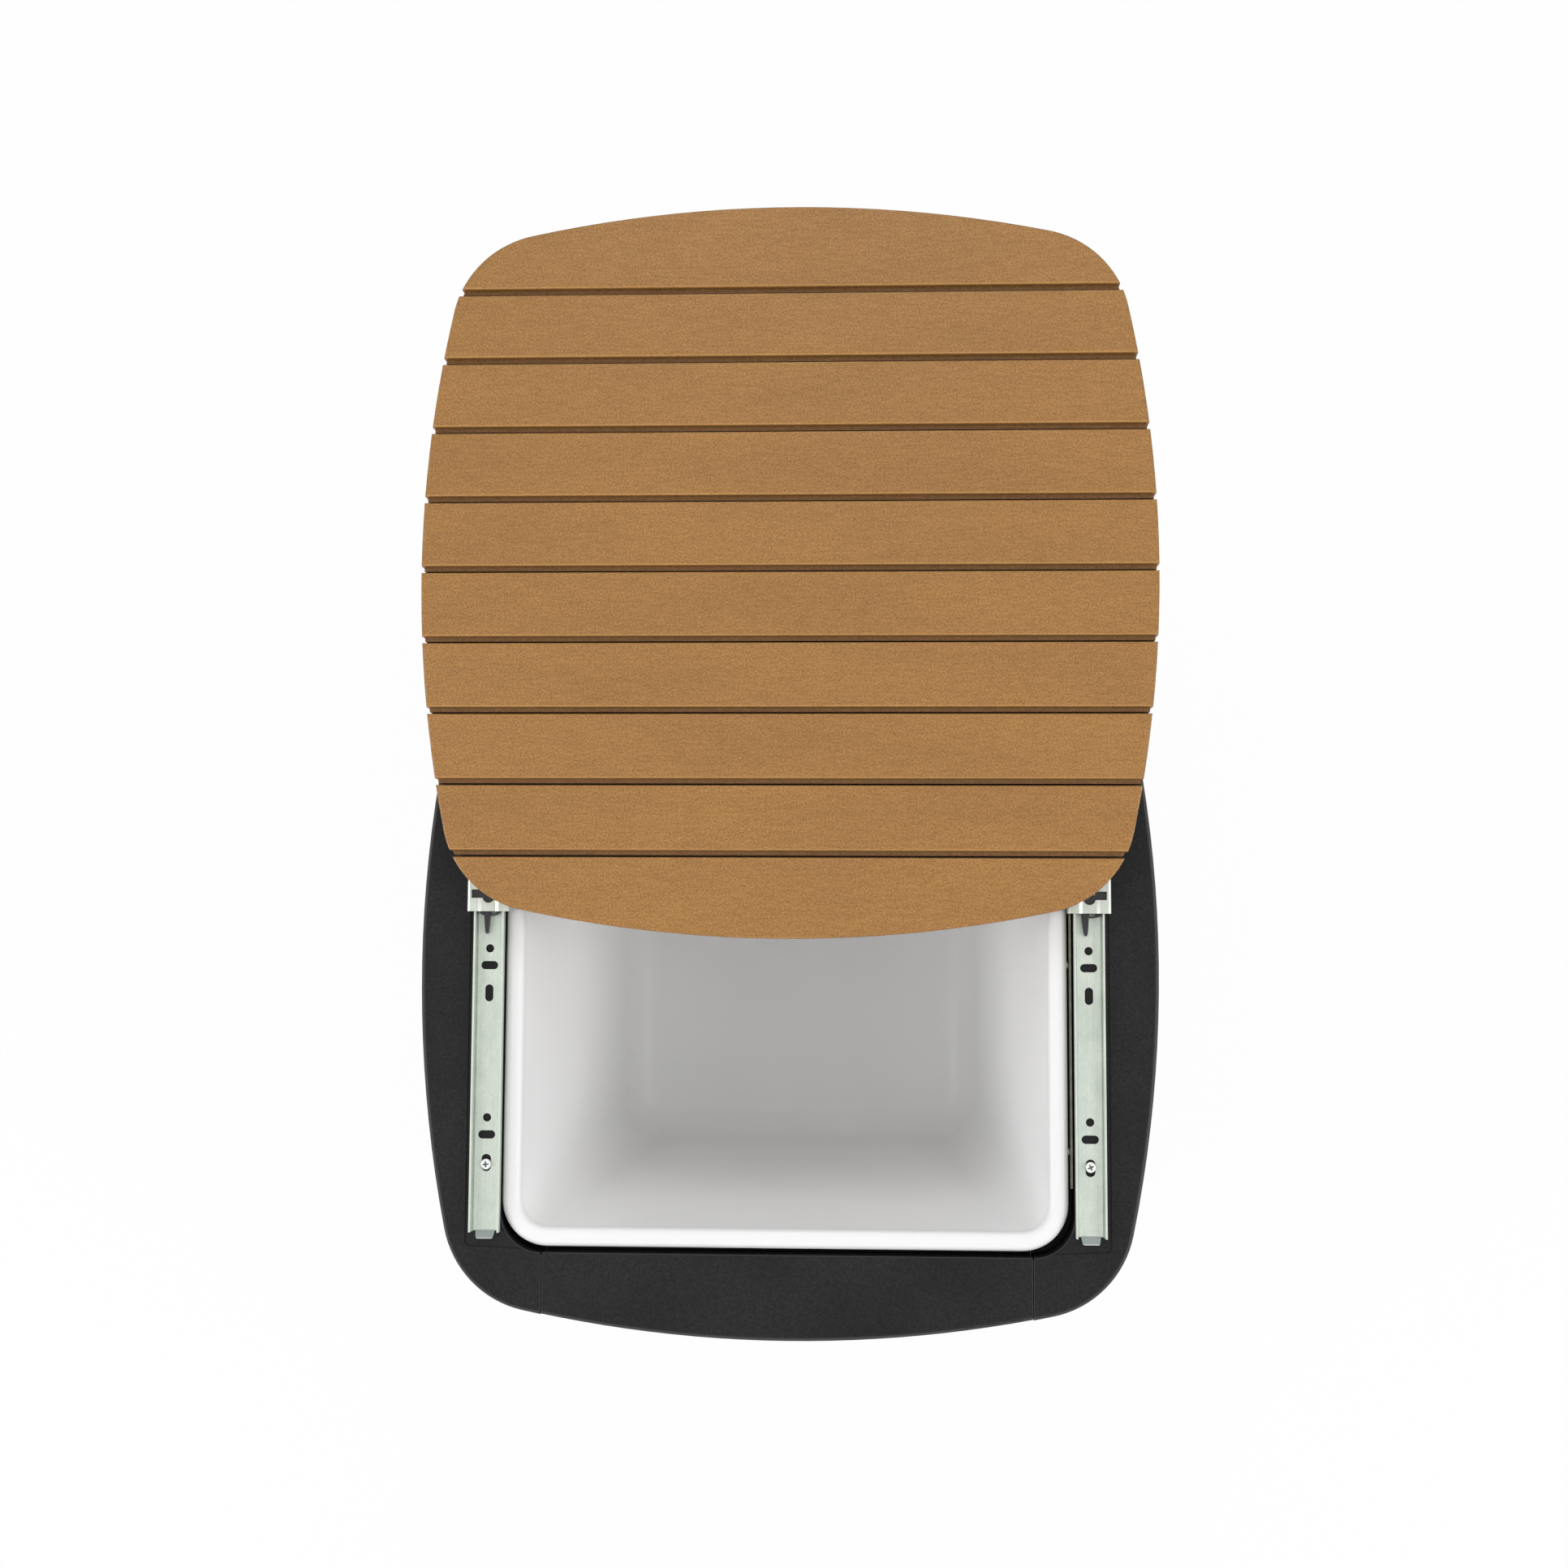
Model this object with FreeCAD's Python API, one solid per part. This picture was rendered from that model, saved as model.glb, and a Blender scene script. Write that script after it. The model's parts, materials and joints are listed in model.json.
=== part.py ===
import FreeCAD, Part
import math
import os
from FreeCAD import Vector

# Ice bucket coffee table: a square patio side table whose slatted top slides back on two
# three-part ball slides and opens an ice bin that hangs in the base.
# Millimetres, +Z up, +Y towards the side that the top slides to, floor at z = 0.
# The origin is on the floor, midway between the base's front and the slid top's back.

# Outline of the top and of the rim: four flat arcs joined by corner arcs
HALF_WIDTH = 219.6
HALF_DEPTH = 220.5
SIDE_RADIUS = 755.0
CORNER_RADIUS = 61.0
TOP_INSET = 0.6

# Levels
TOP_Z = 450.0
TOP_THICKNESS = 14.0
UNDERSIDE_Z = TOP_Z - TOP_THICKNESS
RIM_Z = 425.7
RECESS_Z = 425.0

# How far the slides are drawn out as modelled, stage by stage
MIDDLE_OUT = 188.0
TOP_OUT_OF_MIDDLE = 46.4
TOP_OUT = MIDDLE_OUT + TOP_OUT_OF_MIDDLE
BASE_Y = -TOP_OUT / 2.0
TOP_Y = TOP_OUT / 2.0

# Planks of the top
PLANK_COUNT = 10
PLANK_PITCH = 42.4
PLANK_SHIFT = -0.9
GROOVE_WIDTH = 4.0
GROOVE_DEPTH = 4.0
PLANK_ROUND = 1.2
EDGE_ROUND = 1.2
UPPER_LAP_REACH = 2.7
UPPER_LAP_THICKNESS = 5.8
LOWER_LAP_THICKNESS = 3.6
LOWER_LAP_OVERLAP = 3.0
LAP_PLAY = 0.1
LAP_SET_BACK = 1.8

# Battens that join the planks
BATTEN_X = (-100.0, 0.0, 100.0)
BATTEN_WIDTH = 30.0
BATTEN_THICKNESS = 6.0
BATTEN_HALF_LENGTH = 205.0

# Slides
SLIDE_X = 178.0
SLIDE_LENGTH = 300.0
SLIDE_FRONT = -157.8
SHEET = 1.1
INNER_HALF = 9.0
INNER_TOP_Z = 431.6
MIDDLE_HALF = 12.75
MIDDLE_WEB_Z = 434.4
OUTER_HALF = 16.75
FLANGE_END_Z = 427.8
BALL_Z = 430.2
INNER_BALL_RADIUS = 1.35
OUTER_BALL_RADIUS = 1.5
RACE_PLAY = 0.15
CAGE_LENGTH = 96.0
CAGE_THICKNESS = 0.8
CAGE_HEIGHT = 4.6
BALLS_PER_ROW = 8
HOLE_GROUP_PITCH = 100.0
LONG_SLOT_AT = 39.5
CROSS_SLOT_AT = 56.0
ROUND_HOLE_AT = 66.0
SLOT_LENGTH = 10.1
SLOT_RADIUS = 2.45
SCREW_SLOT_RADIUS = 2.85
BAND_HALF = 4.2
BAND_SLOPE = 1.9
BAND_SUNK = 0.6
WINDOW_X = (3.0, 10.2)
WINDOW_AT = (7.9, 12.9)
MIDDLE_HOLE_RADIUS = 3.6
FRONT_HOLE_AT = 8.6
BACK_HOLE_AT = 20.0
TAB_ROOT = 5.9
TAB_TIP = 4.9
TAB_LENGTH = 5.7
TAB_RISE = 38.0
EAR_LENGTH = 0.6
EAR_WIDTH = 1.6

# Rim of the base
RIM_THICKNESS = 6.0
SKIRT_DEPTH = 42.0
SKIRT_WALL = 3.5
RIM_ROUND = 3.0
JOINT_X = 144.5
JOINT_GAP = 0.5
FRONT_PIECE_SET_IN = 0.4
HOLE_HALF_X = 169.0
HOLE_HALF_Y = 170.4
HOLE_CORNER = 24.0
HOLE_WALL = 3.0
HOLE_ROUND = 0.5
LEDGE_Z = 405.0
LEDGE_WIDTH = 8.6
LEDGE_THICKNESS = 3.0
RECESS_OUTER_X = 190.2
RECESS_FRONT_INNER = -168.9
RECESS_FRONT_OUTER = -166.9
RECESS_BACK = 147.5
RECESS_CORNER = 3.0
BOSS_RADIUS = 5.0
BOSS_Z = 409.0

# Steel strip on edge at the right of the hole
STRIP_INNER_X = 166.5
STRIP_THICKNESS = 1.3
STRIP_FRONT = -130.4
STRIP_BACK = 140.0
STRIP_LOW_Z = 407.0
STRIP_TOP_Z = 424.8
STRIP_BOSS_RADIUS = 4.0

# Ice bin
BIN_X = -1.6
BIN_Y = 0.0
BIN_HALF_X = 167.05
BIN_HALF_Y = 167.0
BIN_CORNER = 27.5
BIN_CORNER_GROWTH = 14.0
BIN_RIM_Z = 426.0
BIN_RIM_WIDTH = 11.2
BIN_WALL = 2.5
BIN_DEPTH = 286.0
BIN_DRAFT = 32.0
BIN_BOTTOM_ROUND = 25.0
BIN_RIM_ROUND = 4.5

# Legs, glides and side panels
LEG_SET_IN = 8.0
LEG_WALL = 4.0
LEG_TOP_FROM = 120.0
LEG_FOOT_FROM = 148.0
LEG_TAPER_Z = 125.0
LEG_PLATE_FROM = 146.0
GLIDE_HEIGHT = 5.0
GLIDE_RADIUS = 10.0
FOOT_PLATE = 5.0
GLIDE_AT = 165.0
PANEL_WALL = 3.0
PANEL_LOW_Z = 125.0
PANEL_HALF = 134.0
PANEL_GROOVE_Z = (199.0, 273.0, 347.0)
PANEL_GROOVE_HALF = 2.0
PANEL_GROOVE_DEPTH = 1.2

PARTS = "parts"
UP = Vector(0, 0, 1)


def save(name, shape):
    """Writes one node and prints what it holds."""
    solids = shape.Solids
    if not solids or not all(solid.isValid() and solid.isClosed() for solid in solids):
        raise RuntimeError(name + " is not made of closed, valid solids")
    shape.exportStep(os.path.join(PARTS, name + ".step"))
    print("%-24s %2d solid(s) %9.1f mm3" % (name, len(solids), shape.Volume))


def box(x0, x1, y0, y1, z0, z1):
    """A box between two values on each axis."""
    return Part.makeBox(x1 - x0, y1 - y0, z1 - z0, Vector(x0, y0, z0))


def rod(x, y, z0, z1, radius):
    """An upright cylinder."""
    return Part.makeCylinder(radius, z1 - z0, Vector(x, y, z0), UP)


def level_arc(x, y, z, radius, start, end):
    """An arc in a level plane, its angles in degrees."""
    return Part.makeCircle(radius, Vector(x, y, z), UP, start, end)


def prism(wire, height):
    """The solid over a level wire."""
    return Part.Face(wire).extrude(Vector(0, 0, height))


def corner_centre():
    """The centre of the outline's corner arc at +X, +Y."""
    reach = SIDE_RADIUS - CORNER_RADIUS
    side = Vector(HALF_WIDTH - SIDE_RADIUS, 0, 0)
    end = Vector(0, HALF_DEPTH - SIDE_RADIUS, 0)
    along = end - side
    across = Vector(-along.y, along.x, 0).normalize()
    if across.x < 0:
        across = across * -1
    rise = math.sqrt(reach ** 2 - (along.Length / 2) ** 2)
    return (side + end) * 0.5 + across * rise


def outline_wire(inset, z):
    """The outline of the top and the rim, drawn in by inset on every side."""
    side_x = HALF_WIDTH - SIDE_RADIUS
    end_y = HALF_DEPTH - SIDE_RADIUS
    corner = corner_centre()
    large = SIDE_RADIUS - inset
    small = CORNER_RADIUS - inset
    low = math.degrees(math.atan2(corner.y, corner.x - side_x))
    high = math.degrees(math.atan2(corner.y - end_y, corner.x))
    edges = [
        level_arc(side_x, 0, z, large, -low, low),
        level_arc(corner.x, corner.y, z, small, low, high),
        level_arc(0, end_y, z, large, high, 180 - high),
        level_arc(-corner.x, corner.y, z, small, 180 - high, 180 - low),
        level_arc(-side_x, 0, z, large, 180 - low, 180 + low),
        level_arc(-corner.x, -corner.y, z, small, 180 + low, 180 + high),
        level_arc(0, -end_y, z, large, 180 + high, 360 - high),
        level_arc(corner.x, -corner.y, z, small, 360 - high, 360 - low),
    ]
    return Part.Wire(edges)


def outline_slab(inset, z0, z1):
    """A slab of the outline's shape."""
    return prism(outline_wire(inset, z0), z1 - z0)


def rounded_outline_slab(inset, z0, z1, top_round, bottom_bevel):
    """A slab of the outline's shape with its upper edge rounded and its lower edge bevelled."""
    slab = outline_slab(inset, z0, z1)
    upper = [edge for edge in slab.Edges if lies_level(edge, z1)]
    slab = slab.makeFillet(top_round, upper)
    lower = [edge for edge in slab.Edges if lies_level(edge, z0)]
    return slab.makeChamfer(bottom_bevel, lower)


def lies_level(edge, z):
    """Whether an edge lies in the level plane at z."""
    bounds = edge.BoundBox
    return abs(bounds.ZMin - z) < 1e-4 and abs(bounds.ZMax - z) < 1e-4


def rounded_rectangle(half_x, half_y, radius, z):
    """A level rectangle with round corners, as a wire."""
    x = half_x - radius
    y = half_y - radius
    edges = []
    for index, (cx, cy) in enumerate(((x, y), (-x, y), (-x, -y), (x, -y))):
        edges.append(level_arc(cx, cy, z, radius, 90 * index, 90 * index + 90))
    sides = []
    for index, edge in enumerate(edges):
        following = edges[(index + 1) % 4]
        sides.append(edge)
        sides.append(Part.makeLine(edge.valueAt(edge.LastParameter),
                                   following.valueAt(following.FirstParameter)))
    return Part.Wire(sides)


def rectangle_prism(half_x, half_y, radius, z0, z1):
    """An upright prism over a rectangle with round corners."""
    return prism(rounded_rectangle(half_x, half_y, radius, z0), z1 - z0)


def slot(x, y, radius, length, along_y, z0, z1):
    """An upright slot with round ends, to cut with."""
    reach = length / 2 - radius
    if along_y:
        ends = (rod(x, y - reach, z0, z1, radius), rod(x, y + reach, z0, z1, radius))
        middle = box(x - radius, x + radius, y - reach, y + reach, z0, z1)
    else:
        ends = (rod(x - reach, y, z0, z1, radius), rod(x + reach, y, z0, z1, radius))
        middle = box(x - reach, x + reach, y - radius, y + radius, z0, z1)
    return middle.fuse(list(ends)).removeSplitter()


def lengthwise_prism(points, y0, y1):
    """A prism along Y over a polygon of (x, z) points."""
    corners = [Vector(x, y0, z) for x, z in points]
    wire = Part.makePolygon(corners + corners[:1])
    return Part.Face(wire).extrude(Vector(0, y1 - y0, 0))


def cross_recess(z, reach, width, depth):
    """The cross in a screw's head, cut down from z: four arms that narrow outward."""
    corners = []
    for turn in range(4):
        along = Vector(math.cos(math.radians(90 * turn)), math.sin(math.radians(90 * turn)), 0)
        across = Vector(-along.y, along.x, 0)
        tip = along * reach
        corners.append(tip - across * (width * 0.25))
        corners.append(tip + across * (width * 0.25))
        corners.append((along + across) * (width * 0.55))
    wire = Part.makePolygon([corner + Vector(0, 0, z - depth) for corner in corners + corners[:1]])
    return prism(wire, depth)


def pan_screw(head_radius, head_height, shank_radius, shank_length):
    """A pan-head cross-recess screw standing on z = 0, its shank downward."""
    head = Part.makeCylinder(head_radius, head_height, Vector(0, 0, 0), UP)
    upper = [edge for edge in head.Edges if lies_level(edge, head_height)]
    head = head.makeFillet(head_height * 0.6, upper)
    shank = Part.makeCylinder(shank_radius, shank_length, Vector(0, 0, -shank_length), UP)
    recess = cross_recess(head_height + 0.01, head_radius * 0.58, head_radius * 0.30, head_height * 0.6)
    return head.fuse(shank).removeSplitter().cut(recess)


def flat_screw(head_radius, head_depth, shank_radius, length):
    """A countersunk screw whose head's face is at z = 0 and whose shank stands above it."""
    head = Part.makeCone(head_radius, shank_radius, head_depth, Vector(0, 0, 0), UP)
    shank = Part.makeCylinder(shank_radius, length - head_depth, Vector(0, 0, head_depth), UP)
    recess = cross_recess(head_depth * 0.6, head_radius * 0.58, head_radius * 0.30, head_depth * 0.6 + 0.01)
    return head.fuse(shank).removeSplitter().cut(recess)


def moved(shape, x, y, z):
    """A copy of a shape, shifted."""
    copy = shape.copy()
    copy.translate(Vector(x, y, z))
    return copy


def on_base(shape):
    """Shifts a piece drawn about the base's centre to its place."""
    return moved(shape, 0, BASE_Y, 0)


def on_top(shape):
    """Shifts a piece drawn about the top's centre to its place."""
    return moved(shape, 0, TOP_Y, 0)


# Planks

def plank_edges(index):
    """The front and back faces of a plank, counted from the front, about the top's centre."""
    first_groove = PLANK_SHIFT - PLANK_PITCH * (PLANK_COUNT - 2) / 2
    front = first_groove + PLANK_PITCH * (index - 1) + GROOVE_WIDTH / 2
    back = first_groove + PLANK_PITCH * index - GROOVE_WIDTH / 2
    return front, back


def plank_centre(index):
    """The line on which a plank's screws stand."""
    front, back = plank_edges(index)
    if index == 0:
        return (back - HALF_DEPTH) / 2
    if index == PLANK_COUNT - 1:
        return (front + HALF_DEPTH) / 2
    return (front + back) / 2


def plank_strip(index, front, back):
    """The long strip that a plank is cut from, with its upper arrises rounded."""
    past = HALF_WIDTH + 10
    strip = box(-past, past, front, back, UNDERSIDE_Z, TOP_Z)
    inner = []
    if index > 0:
        inner.append(front)
    if index < PLANK_COUNT - 1:
        inner.append(back)
    arrises = [edge for edge in strip.Edges if lies_level(edge, TOP_Z)
               and edge.BoundBox.YLength < 1e-4
               and any(abs(edge.BoundBox.YMin - y) < 1e-4 for y in inner)]
    return strip.makeFillet(PLANK_ROUND, arrises)


def plank(index, blank):
    """One plank. Its upper lap fills most of the groove before it; its lower lap closes the next one."""
    front, back = plank_edges(index)
    if index == 0:
        front = -HALF_DEPTH - 10
    if index == PLANK_COUNT - 1:
        back = HALF_DEPTH + 10
    shape = blank.common(plank_strip(index, front, back))
    past = HALF_WIDTH + 10
    set_back = outline_slab(LAP_SET_BACK, UNDERSIDE_Z, TOP_Z)
    lower_top = UNDERSIDE_Z + LOWER_LAP_THICKNESS
    if index > 0:
        rebate = LOWER_LAP_OVERLAP + LAP_PLAY
        shape = shape.cut(box(-past, past, front - 1, front + rebate, UNDERSIDE_Z - 1, lower_top + LAP_PLAY))
        upper_top = TOP_Z - GROOVE_DEPTH
        lap = box(-past, past, front - UPPER_LAP_REACH, front + 1, upper_top - UPPER_LAP_THICKNESS, upper_top)
        shape = shape.fuse(lap.common(set_back)).removeSplitter()
    if index < PLANK_COUNT - 1:
        reach = GROOVE_WIDTH + LOWER_LAP_OVERLAP
        lap = box(-past, past, back - 1, back + reach, UNDERSIDE_Z, lower_top)
        shape = shape.fuse(lap.common(set_back)).removeSplitter()
    return shape


def batten(x):
    """A flat bar under the planks, from the front plank to the back one."""
    half = BATTEN_WIDTH / 2
    bar = box(x - half, x + half, -BATTEN_HALF_LENGTH, BATTEN_HALF_LENGTH,
              UNDERSIDE_Z - BATTEN_THICKNESS, UNDERSIDE_Z)
    upright = [edge for edge in bar.Edges if edge.BoundBox.ZLength > BATTEN_THICKNESS / 2]
    bar = bar.makeFillet(5.0, upright)
    lower = [edge for edge in bar.Edges if lies_level(edge, UNDERSIDE_Z - BATTEN_THICKNESS)]
    return bar.makeFillet(1.0, lower)


# Countersunk screws: head radius, head depth, shank radius, whole length
BATTEN_SCREW = (3.6, 2.4, 1.75, 13.5)
RAIL_SCREW = (3.3, 1.8, 1.75, 11.0)
# Pan-head screws: head radius, head height, shank radius, shank length
INNER_SCREW = (3.2, 2.0, 1.9, 14.0)
JOINT_SCREW = (3.2, 2.0, 1.8, 4.3)
LEG_SCREW = (3.4, 2.2, 1.8, 7.0)
PANEL_SCREW = (3.2, 2.0, 1.7, 5.5)
STRIP_SCREW = (2.4, 0.6, 1.3, 6.2)
PILOT_RADIUS = 1.8
THREAD_PLAY = 0.05
CLEARANCE = 0.15


def countersink(x, y, z, head_radius, head_depth, hole_radius, length):
    """The hole for a countersunk screw that stands up from z."""
    play = 0.1
    cone = Part.makeCone(head_radius + play, hole_radius, head_depth, Vector(x, y, z), UP)
    return cone.fuse(rod(x, y, z, z + length, hole_radius)).removeSplitter()


def make_top():
    """The ten planks, the battens under them and the battens' screws."""
    blank = rounded_outline_slab(TOP_INSET, UNDERSIDE_Z, TOP_Z, EDGE_ROUND, 0.8)
    screw = flat_screw(*BATTEN_SCREW)
    low_z = UNDERSIDE_Z - BATTEN_THICKNESS
    screws = []
    bars = {x: batten(x) for x in BATTEN_X}
    for index in range(PLANK_COUNT):
        shape = plank(index, blank)
        y = plank_centre(index)
        for x in BATTEN_X:
            hole = countersink(x, y, low_z, BATTEN_SCREW[0], BATTEN_SCREW[1], PILOT_RADIUS,
                               BATTEN_SCREW[3] + 1)
            shape = shape.cut(hole)
            bars[x] = bars[x].cut(hole)
            screws.append(moved(screw, x, y, low_z))
        for side in (-1, 1):
            for line in rail_screw_lines():
                if abs(line - y) < 1.0:
                    hole = countersink(side * SLIDE_X, line, UNDERSIDE_Z - SHEET, RAIL_SCREW[0],
                                       RAIL_SCREW[1], PILOT_RADIUS, RAIL_SCREW[3] + 1)
                    shape = shape.cut(hole)
        save("plank_%02d" % (index + 1), on_top(shape))
    for name, x in zip(("left", "middle", "right"), BATTEN_X):
        save("batten_" + name, on_top(bars[x]))
    save("batten_screws", on_top(Part.makeCompound(screws)))


# Slides

def rail_screw_lines():
    """Where the outer member's screws stand: on planks 2, 5 and 8, about the top's centre."""
    return [plank_centre(index) for index in (1, 4, 7)]


def race(x, radius, y0, y1):
    """The round groove that a row of balls runs in."""
    return Part.makeCylinder(radius + RACE_PLAY, y1 - y0, Vector(x, y0, BALL_Z), Vector(0, 1, 0))


def inner_ball_x():
    """Midway between the inner member's flange and the middle member's."""
    return (INNER_HALF + MIDDLE_HALF - SHEET) / 2


def outer_ball_x():
    """Midway between the middle member's flange and the outer member's."""
    return (MIDDLE_HALF + OUTER_HALF - SHEET) / 2


def channel(half, web_z, open_z, y0, y1, corner):
    """A channel along Y with its web at web_z and its flanges' ends at open_z."""
    rises = open_z > web_z
    low, high = min(web_z, open_z), max(web_z, open_z)
    outer = box(-half, half, y0, y1, low, high)
    bend = [edge for edge in outer.Edges if lies_level(edge, web_z) and edge.BoundBox.YLength > 1]
    outer = outer.makeFillet(corner, bend)
    inside_low = low + SHEET if rises else low - 1
    inside_high = high + 1 if rises else high - SHEET
    inner = box(-half + SHEET, half - SHEET, y0 - 1, y1 + 1, inside_low, inside_high)
    inside_web = inside_low if rises else inside_high
    bend = [edge for edge in inner.Edges if lies_level(edge, inside_web) and edge.BoundBox.YLength > 1]
    inner = inner.makeFillet(corner - SHEET + 0.4, bend)
    return outer.cut(inner)


def end_tab(y):
    """The tab that rises off an inner member's front end, its root at y."""
    corners = [Vector(-TAB_ROOT, 0.6, 0), Vector(TAB_ROOT, 0.6, 0), Vector(TAB_TIP, -TAB_LENGTH, 0),
               Vector(-TAB_TIP, -TAB_LENGTH, 0)]
    tab = prism(Part.makePolygon(corners + corners[:1]), SHEET)
    tip_edges = [edge for edge in tab.Edges if edge.BoundBox.ZLength > SHEET / 2
                 and edge.BoundBox.YMin < -TAB_LENGTH + 0.1]
    tab = tab.makeFillet(1.2, tip_edges)
    tab.rotate(Vector(0, 0, 0), Vector(1, 0, 0), -TAB_RISE)
    tab.translate(Vector(0, y, RECESS_Z))
    return tab.cut(box(-10, 10, y - 20, y + 20, RECESS_Z - 5, RECESS_Z))


def inner_rail():
    """The narrow member that is screwed into the recess: open side up, a raised tab at its front."""
    y0 = SLIDE_FRONT
    y1 = SLIDE_FRONT + SLIDE_LENGTH
    shape = channel(INNER_HALF, RECESS_Z, INNER_TOP_Z, y0 - EAR_LENGTH, y1, 1.6)
    below = RECESS_Z - 1
    web_top = RECESS_Z + SHEET
    between_ears = INNER_HALF - EAR_WIDTH
    shape = shape.cut(box(-between_ears, between_ears, y0 - EAR_LENGTH - 1, y0, below, web_top + 2))
    for x in (-inner_ball_x(), inner_ball_x()):
        shape = shape.cut(race(x, INNER_BALL_RADIUS, y0 - 5, y1 + 5))
    shape = shape.fuse(end_tab(y0)).removeSplitter()
    for group in range(3):
        start = y0 + group * HOLE_GROUP_PITCH
        radius = SCREW_SLOT_RADIUS if group == 0 else SLOT_RADIUS
        shape = shape.cut(slot(0, start + LONG_SLOT_AT, radius, SLOT_LENGTH, True, below, web_top + 1))
        shape = shape.cut(slot(0, start + CROSS_SLOT_AT, SLOT_RADIUS, SLOT_LENGTH, False, below, web_top + 1))
        shape = shape.cut(rod(0, start + ROUND_HOLE_AT, below, web_top + 1, SLOT_RADIUS))
    for x in (-HOUSING_PEG_X, HOUSING_PEG_X):
        shape = shape.cut(rod(x, HOUSING_PEG_Y, below, web_top + 1, HOUSING_PEG_RADIUS + 0.05))
    return shape.cut(rod(0, LEVER_PIVOT_Y, below, web_top + 1, LEVER_PIN_RADIUS + 0.02))


def middle_rail(side):
    """The middle member, web up, with a sunk band along it; side is -1 on the left, 1 on the right."""
    y0 = SLIDE_FRONT + MIDDLE_OUT
    y1 = y0 + SLIDE_LENGTH
    shape = channel(MIDDLE_HALF, MIDDLE_WEB_Z, FLANGE_END_Z, y0, y1, 1.7)
    band_z = MIDDLE_WEB_Z - BAND_SUNK
    band_top = BAND_HALF + BAND_SLOPE
    band = [(-BAND_HALF, band_z), (BAND_HALF, band_z), (band_top, MIDDLE_WEB_Z), (-band_top, MIDDLE_WEB_Z)]
    shape = shape.cut(lengthwise_prism(band, y0 - 1, y1 + 1))
    below = [(x, z - SHEET) for x, z in band]
    shape = shape.fuse(lengthwise_prism(below, y0, y1)).removeSplitter()
    for x in (-inner_ball_x(), inner_ball_x()):
        shape = shape.cut(race(x, INNER_BALL_RADIUS, y0 - 5, y1 + 5))
    for x in (-outer_ball_x(), outer_ball_x()):
        shape = shape.cut(race(x, OUTER_BALL_RADIUS, y0 - 5, y1 + 5))
    cut_low = MIDDLE_WEB_Z - 3
    cut_high = MIDDLE_WEB_Z + 1
    x0, x1 = sorted(side * x for x in WINDOW_X)
    shape = shape.cut(box(x0, x1, y0 + WINDOW_AT[0], y0 + WINDOW_AT[1], cut_low, cut_high))
    for y in (y0 + FRONT_HOLE_AT, y1 - BACK_HOLE_AT):
        shape = shape.cut(rod(0, y, cut_low, cut_high, MIDDLE_HOLE_RADIUS))
    return shape


def outer_rail():
    """The widest member, screwed under the planks, open side down."""
    y0 = SLIDE_FRONT
    y1 = y0 + SLIDE_LENGTH
    shape = channel(OUTER_HALF, UNDERSIDE_Z, FLANGE_END_Z, y0, y1, 2.0)
    for x in (-outer_ball_x(), outer_ball_x()):
        shape = shape.cut(race(x, OUTER_BALL_RADIUS, y0 - 5, y1 + 5))
    for line in rail_screw_lines():
        shape = shape.cut(countersink(0, line, UNDERSIDE_Z - SHEET, RAIL_SCREW[0], RAIL_SCREW[1],
                                      PILOT_RADIUS, 5))
    return shape


def ball_row(x, y, radius):
    """The balls of one row, spread along a cage whose middle is at y."""
    pitch = CAGE_LENGTH / BALLS_PER_ROW
    first = y - pitch * (BALLS_PER_ROW - 1) / 2
    places = [Vector(x, first + pitch * index, BALL_Z) for index in range(BALLS_PER_ROW)]
    return [Part.makeSphere(radius, place) for place in places]


def cage_strip(x, y, radius):
    """The thin strip that keeps a row of balls apart."""
    half = CAGE_THICKNESS / 2
    strip = box(x - half, x + half, y - CAGE_LENGTH / 2, y + CAGE_LENGTH / 2,
                BALL_Z - CAGE_HEIGHT / 2, BALL_Z + CAGE_HEIGHT / 2)
    for ball in ball_row(x, y, radius):
        middle = ball.BoundBox.Center
        eye = Part.makeCylinder(radius + 0.12, 4, Vector(x - 2, middle.y, BALL_Z), Vector(1, 0, 0))
        strip = strip.cut(eye)
    return strip


def save_balls(kind, name, slide_x, ball_x, y, radius):
    """The cage strips and balls at both sides of one pair of members."""
    strips = [cage_strip(x, y, radius) for x in (-ball_x, ball_x)]
    balls = ball_row(-ball_x, y, radius) + ball_row(ball_x, y, radius)
    save("%s_ball_cage_%s" % (kind, name), moved(Part.makeCompound(strips), slide_x, BASE_Y, 0))
    save("%s_balls_%s" % (kind, name), moved(Part.makeCompound(balls), slide_x, BASE_Y, 0))


# Release levers

LEVER_PIVOT_Y = 63.5
LEVER_PIN_RADIUS = 1.5
LEVER_Z = RECESS_Z + SHEET + 0.1
LEVER_THICKNESS = 2.4
LEVER_RING_Y = SLIDE_FRONT + MIDDLE_OUT - 0.6
LEVER_RING_RISE = 1.0
LEVER_RING_HALF = (5.9, 2.1)
LEVER_OPENING_HALF = (2.1, 0.8)
LEVER_EYE_RADIUS = 4.0
LEVER_STEM_HALF = 2.5
LEVER_SPIKE_LENGTH = 12.6
LEVER_SPIKE_TIP = 0.55
# Each lever's ring, opening, spike root and spike tip off the slide's middle, and half its spike's root
LEVER_SHAPES = {-1: (0.0, 2.0, -1.65, -1.6, 1.9), 1: (1.25, 2.2, -2.15, -1.7, 2.2)}
# Half the spike's width on its way to the tip: share of its length, share of its root
LEVER_SPIKE_TAPER = ((0.04, 1.0), (0.6, 0.72), (0.88, 0.52))


def ellipse_prism(x, y, half_x, half_y, z0, z1):
    """An upright prism over a level ellipse that is longer across than along."""
    curve = Part.Ellipse(Vector(x, y, z0), half_x, half_y)
    return prism(Part.Wire(curve.toShape()), z1 - z0)


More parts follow.
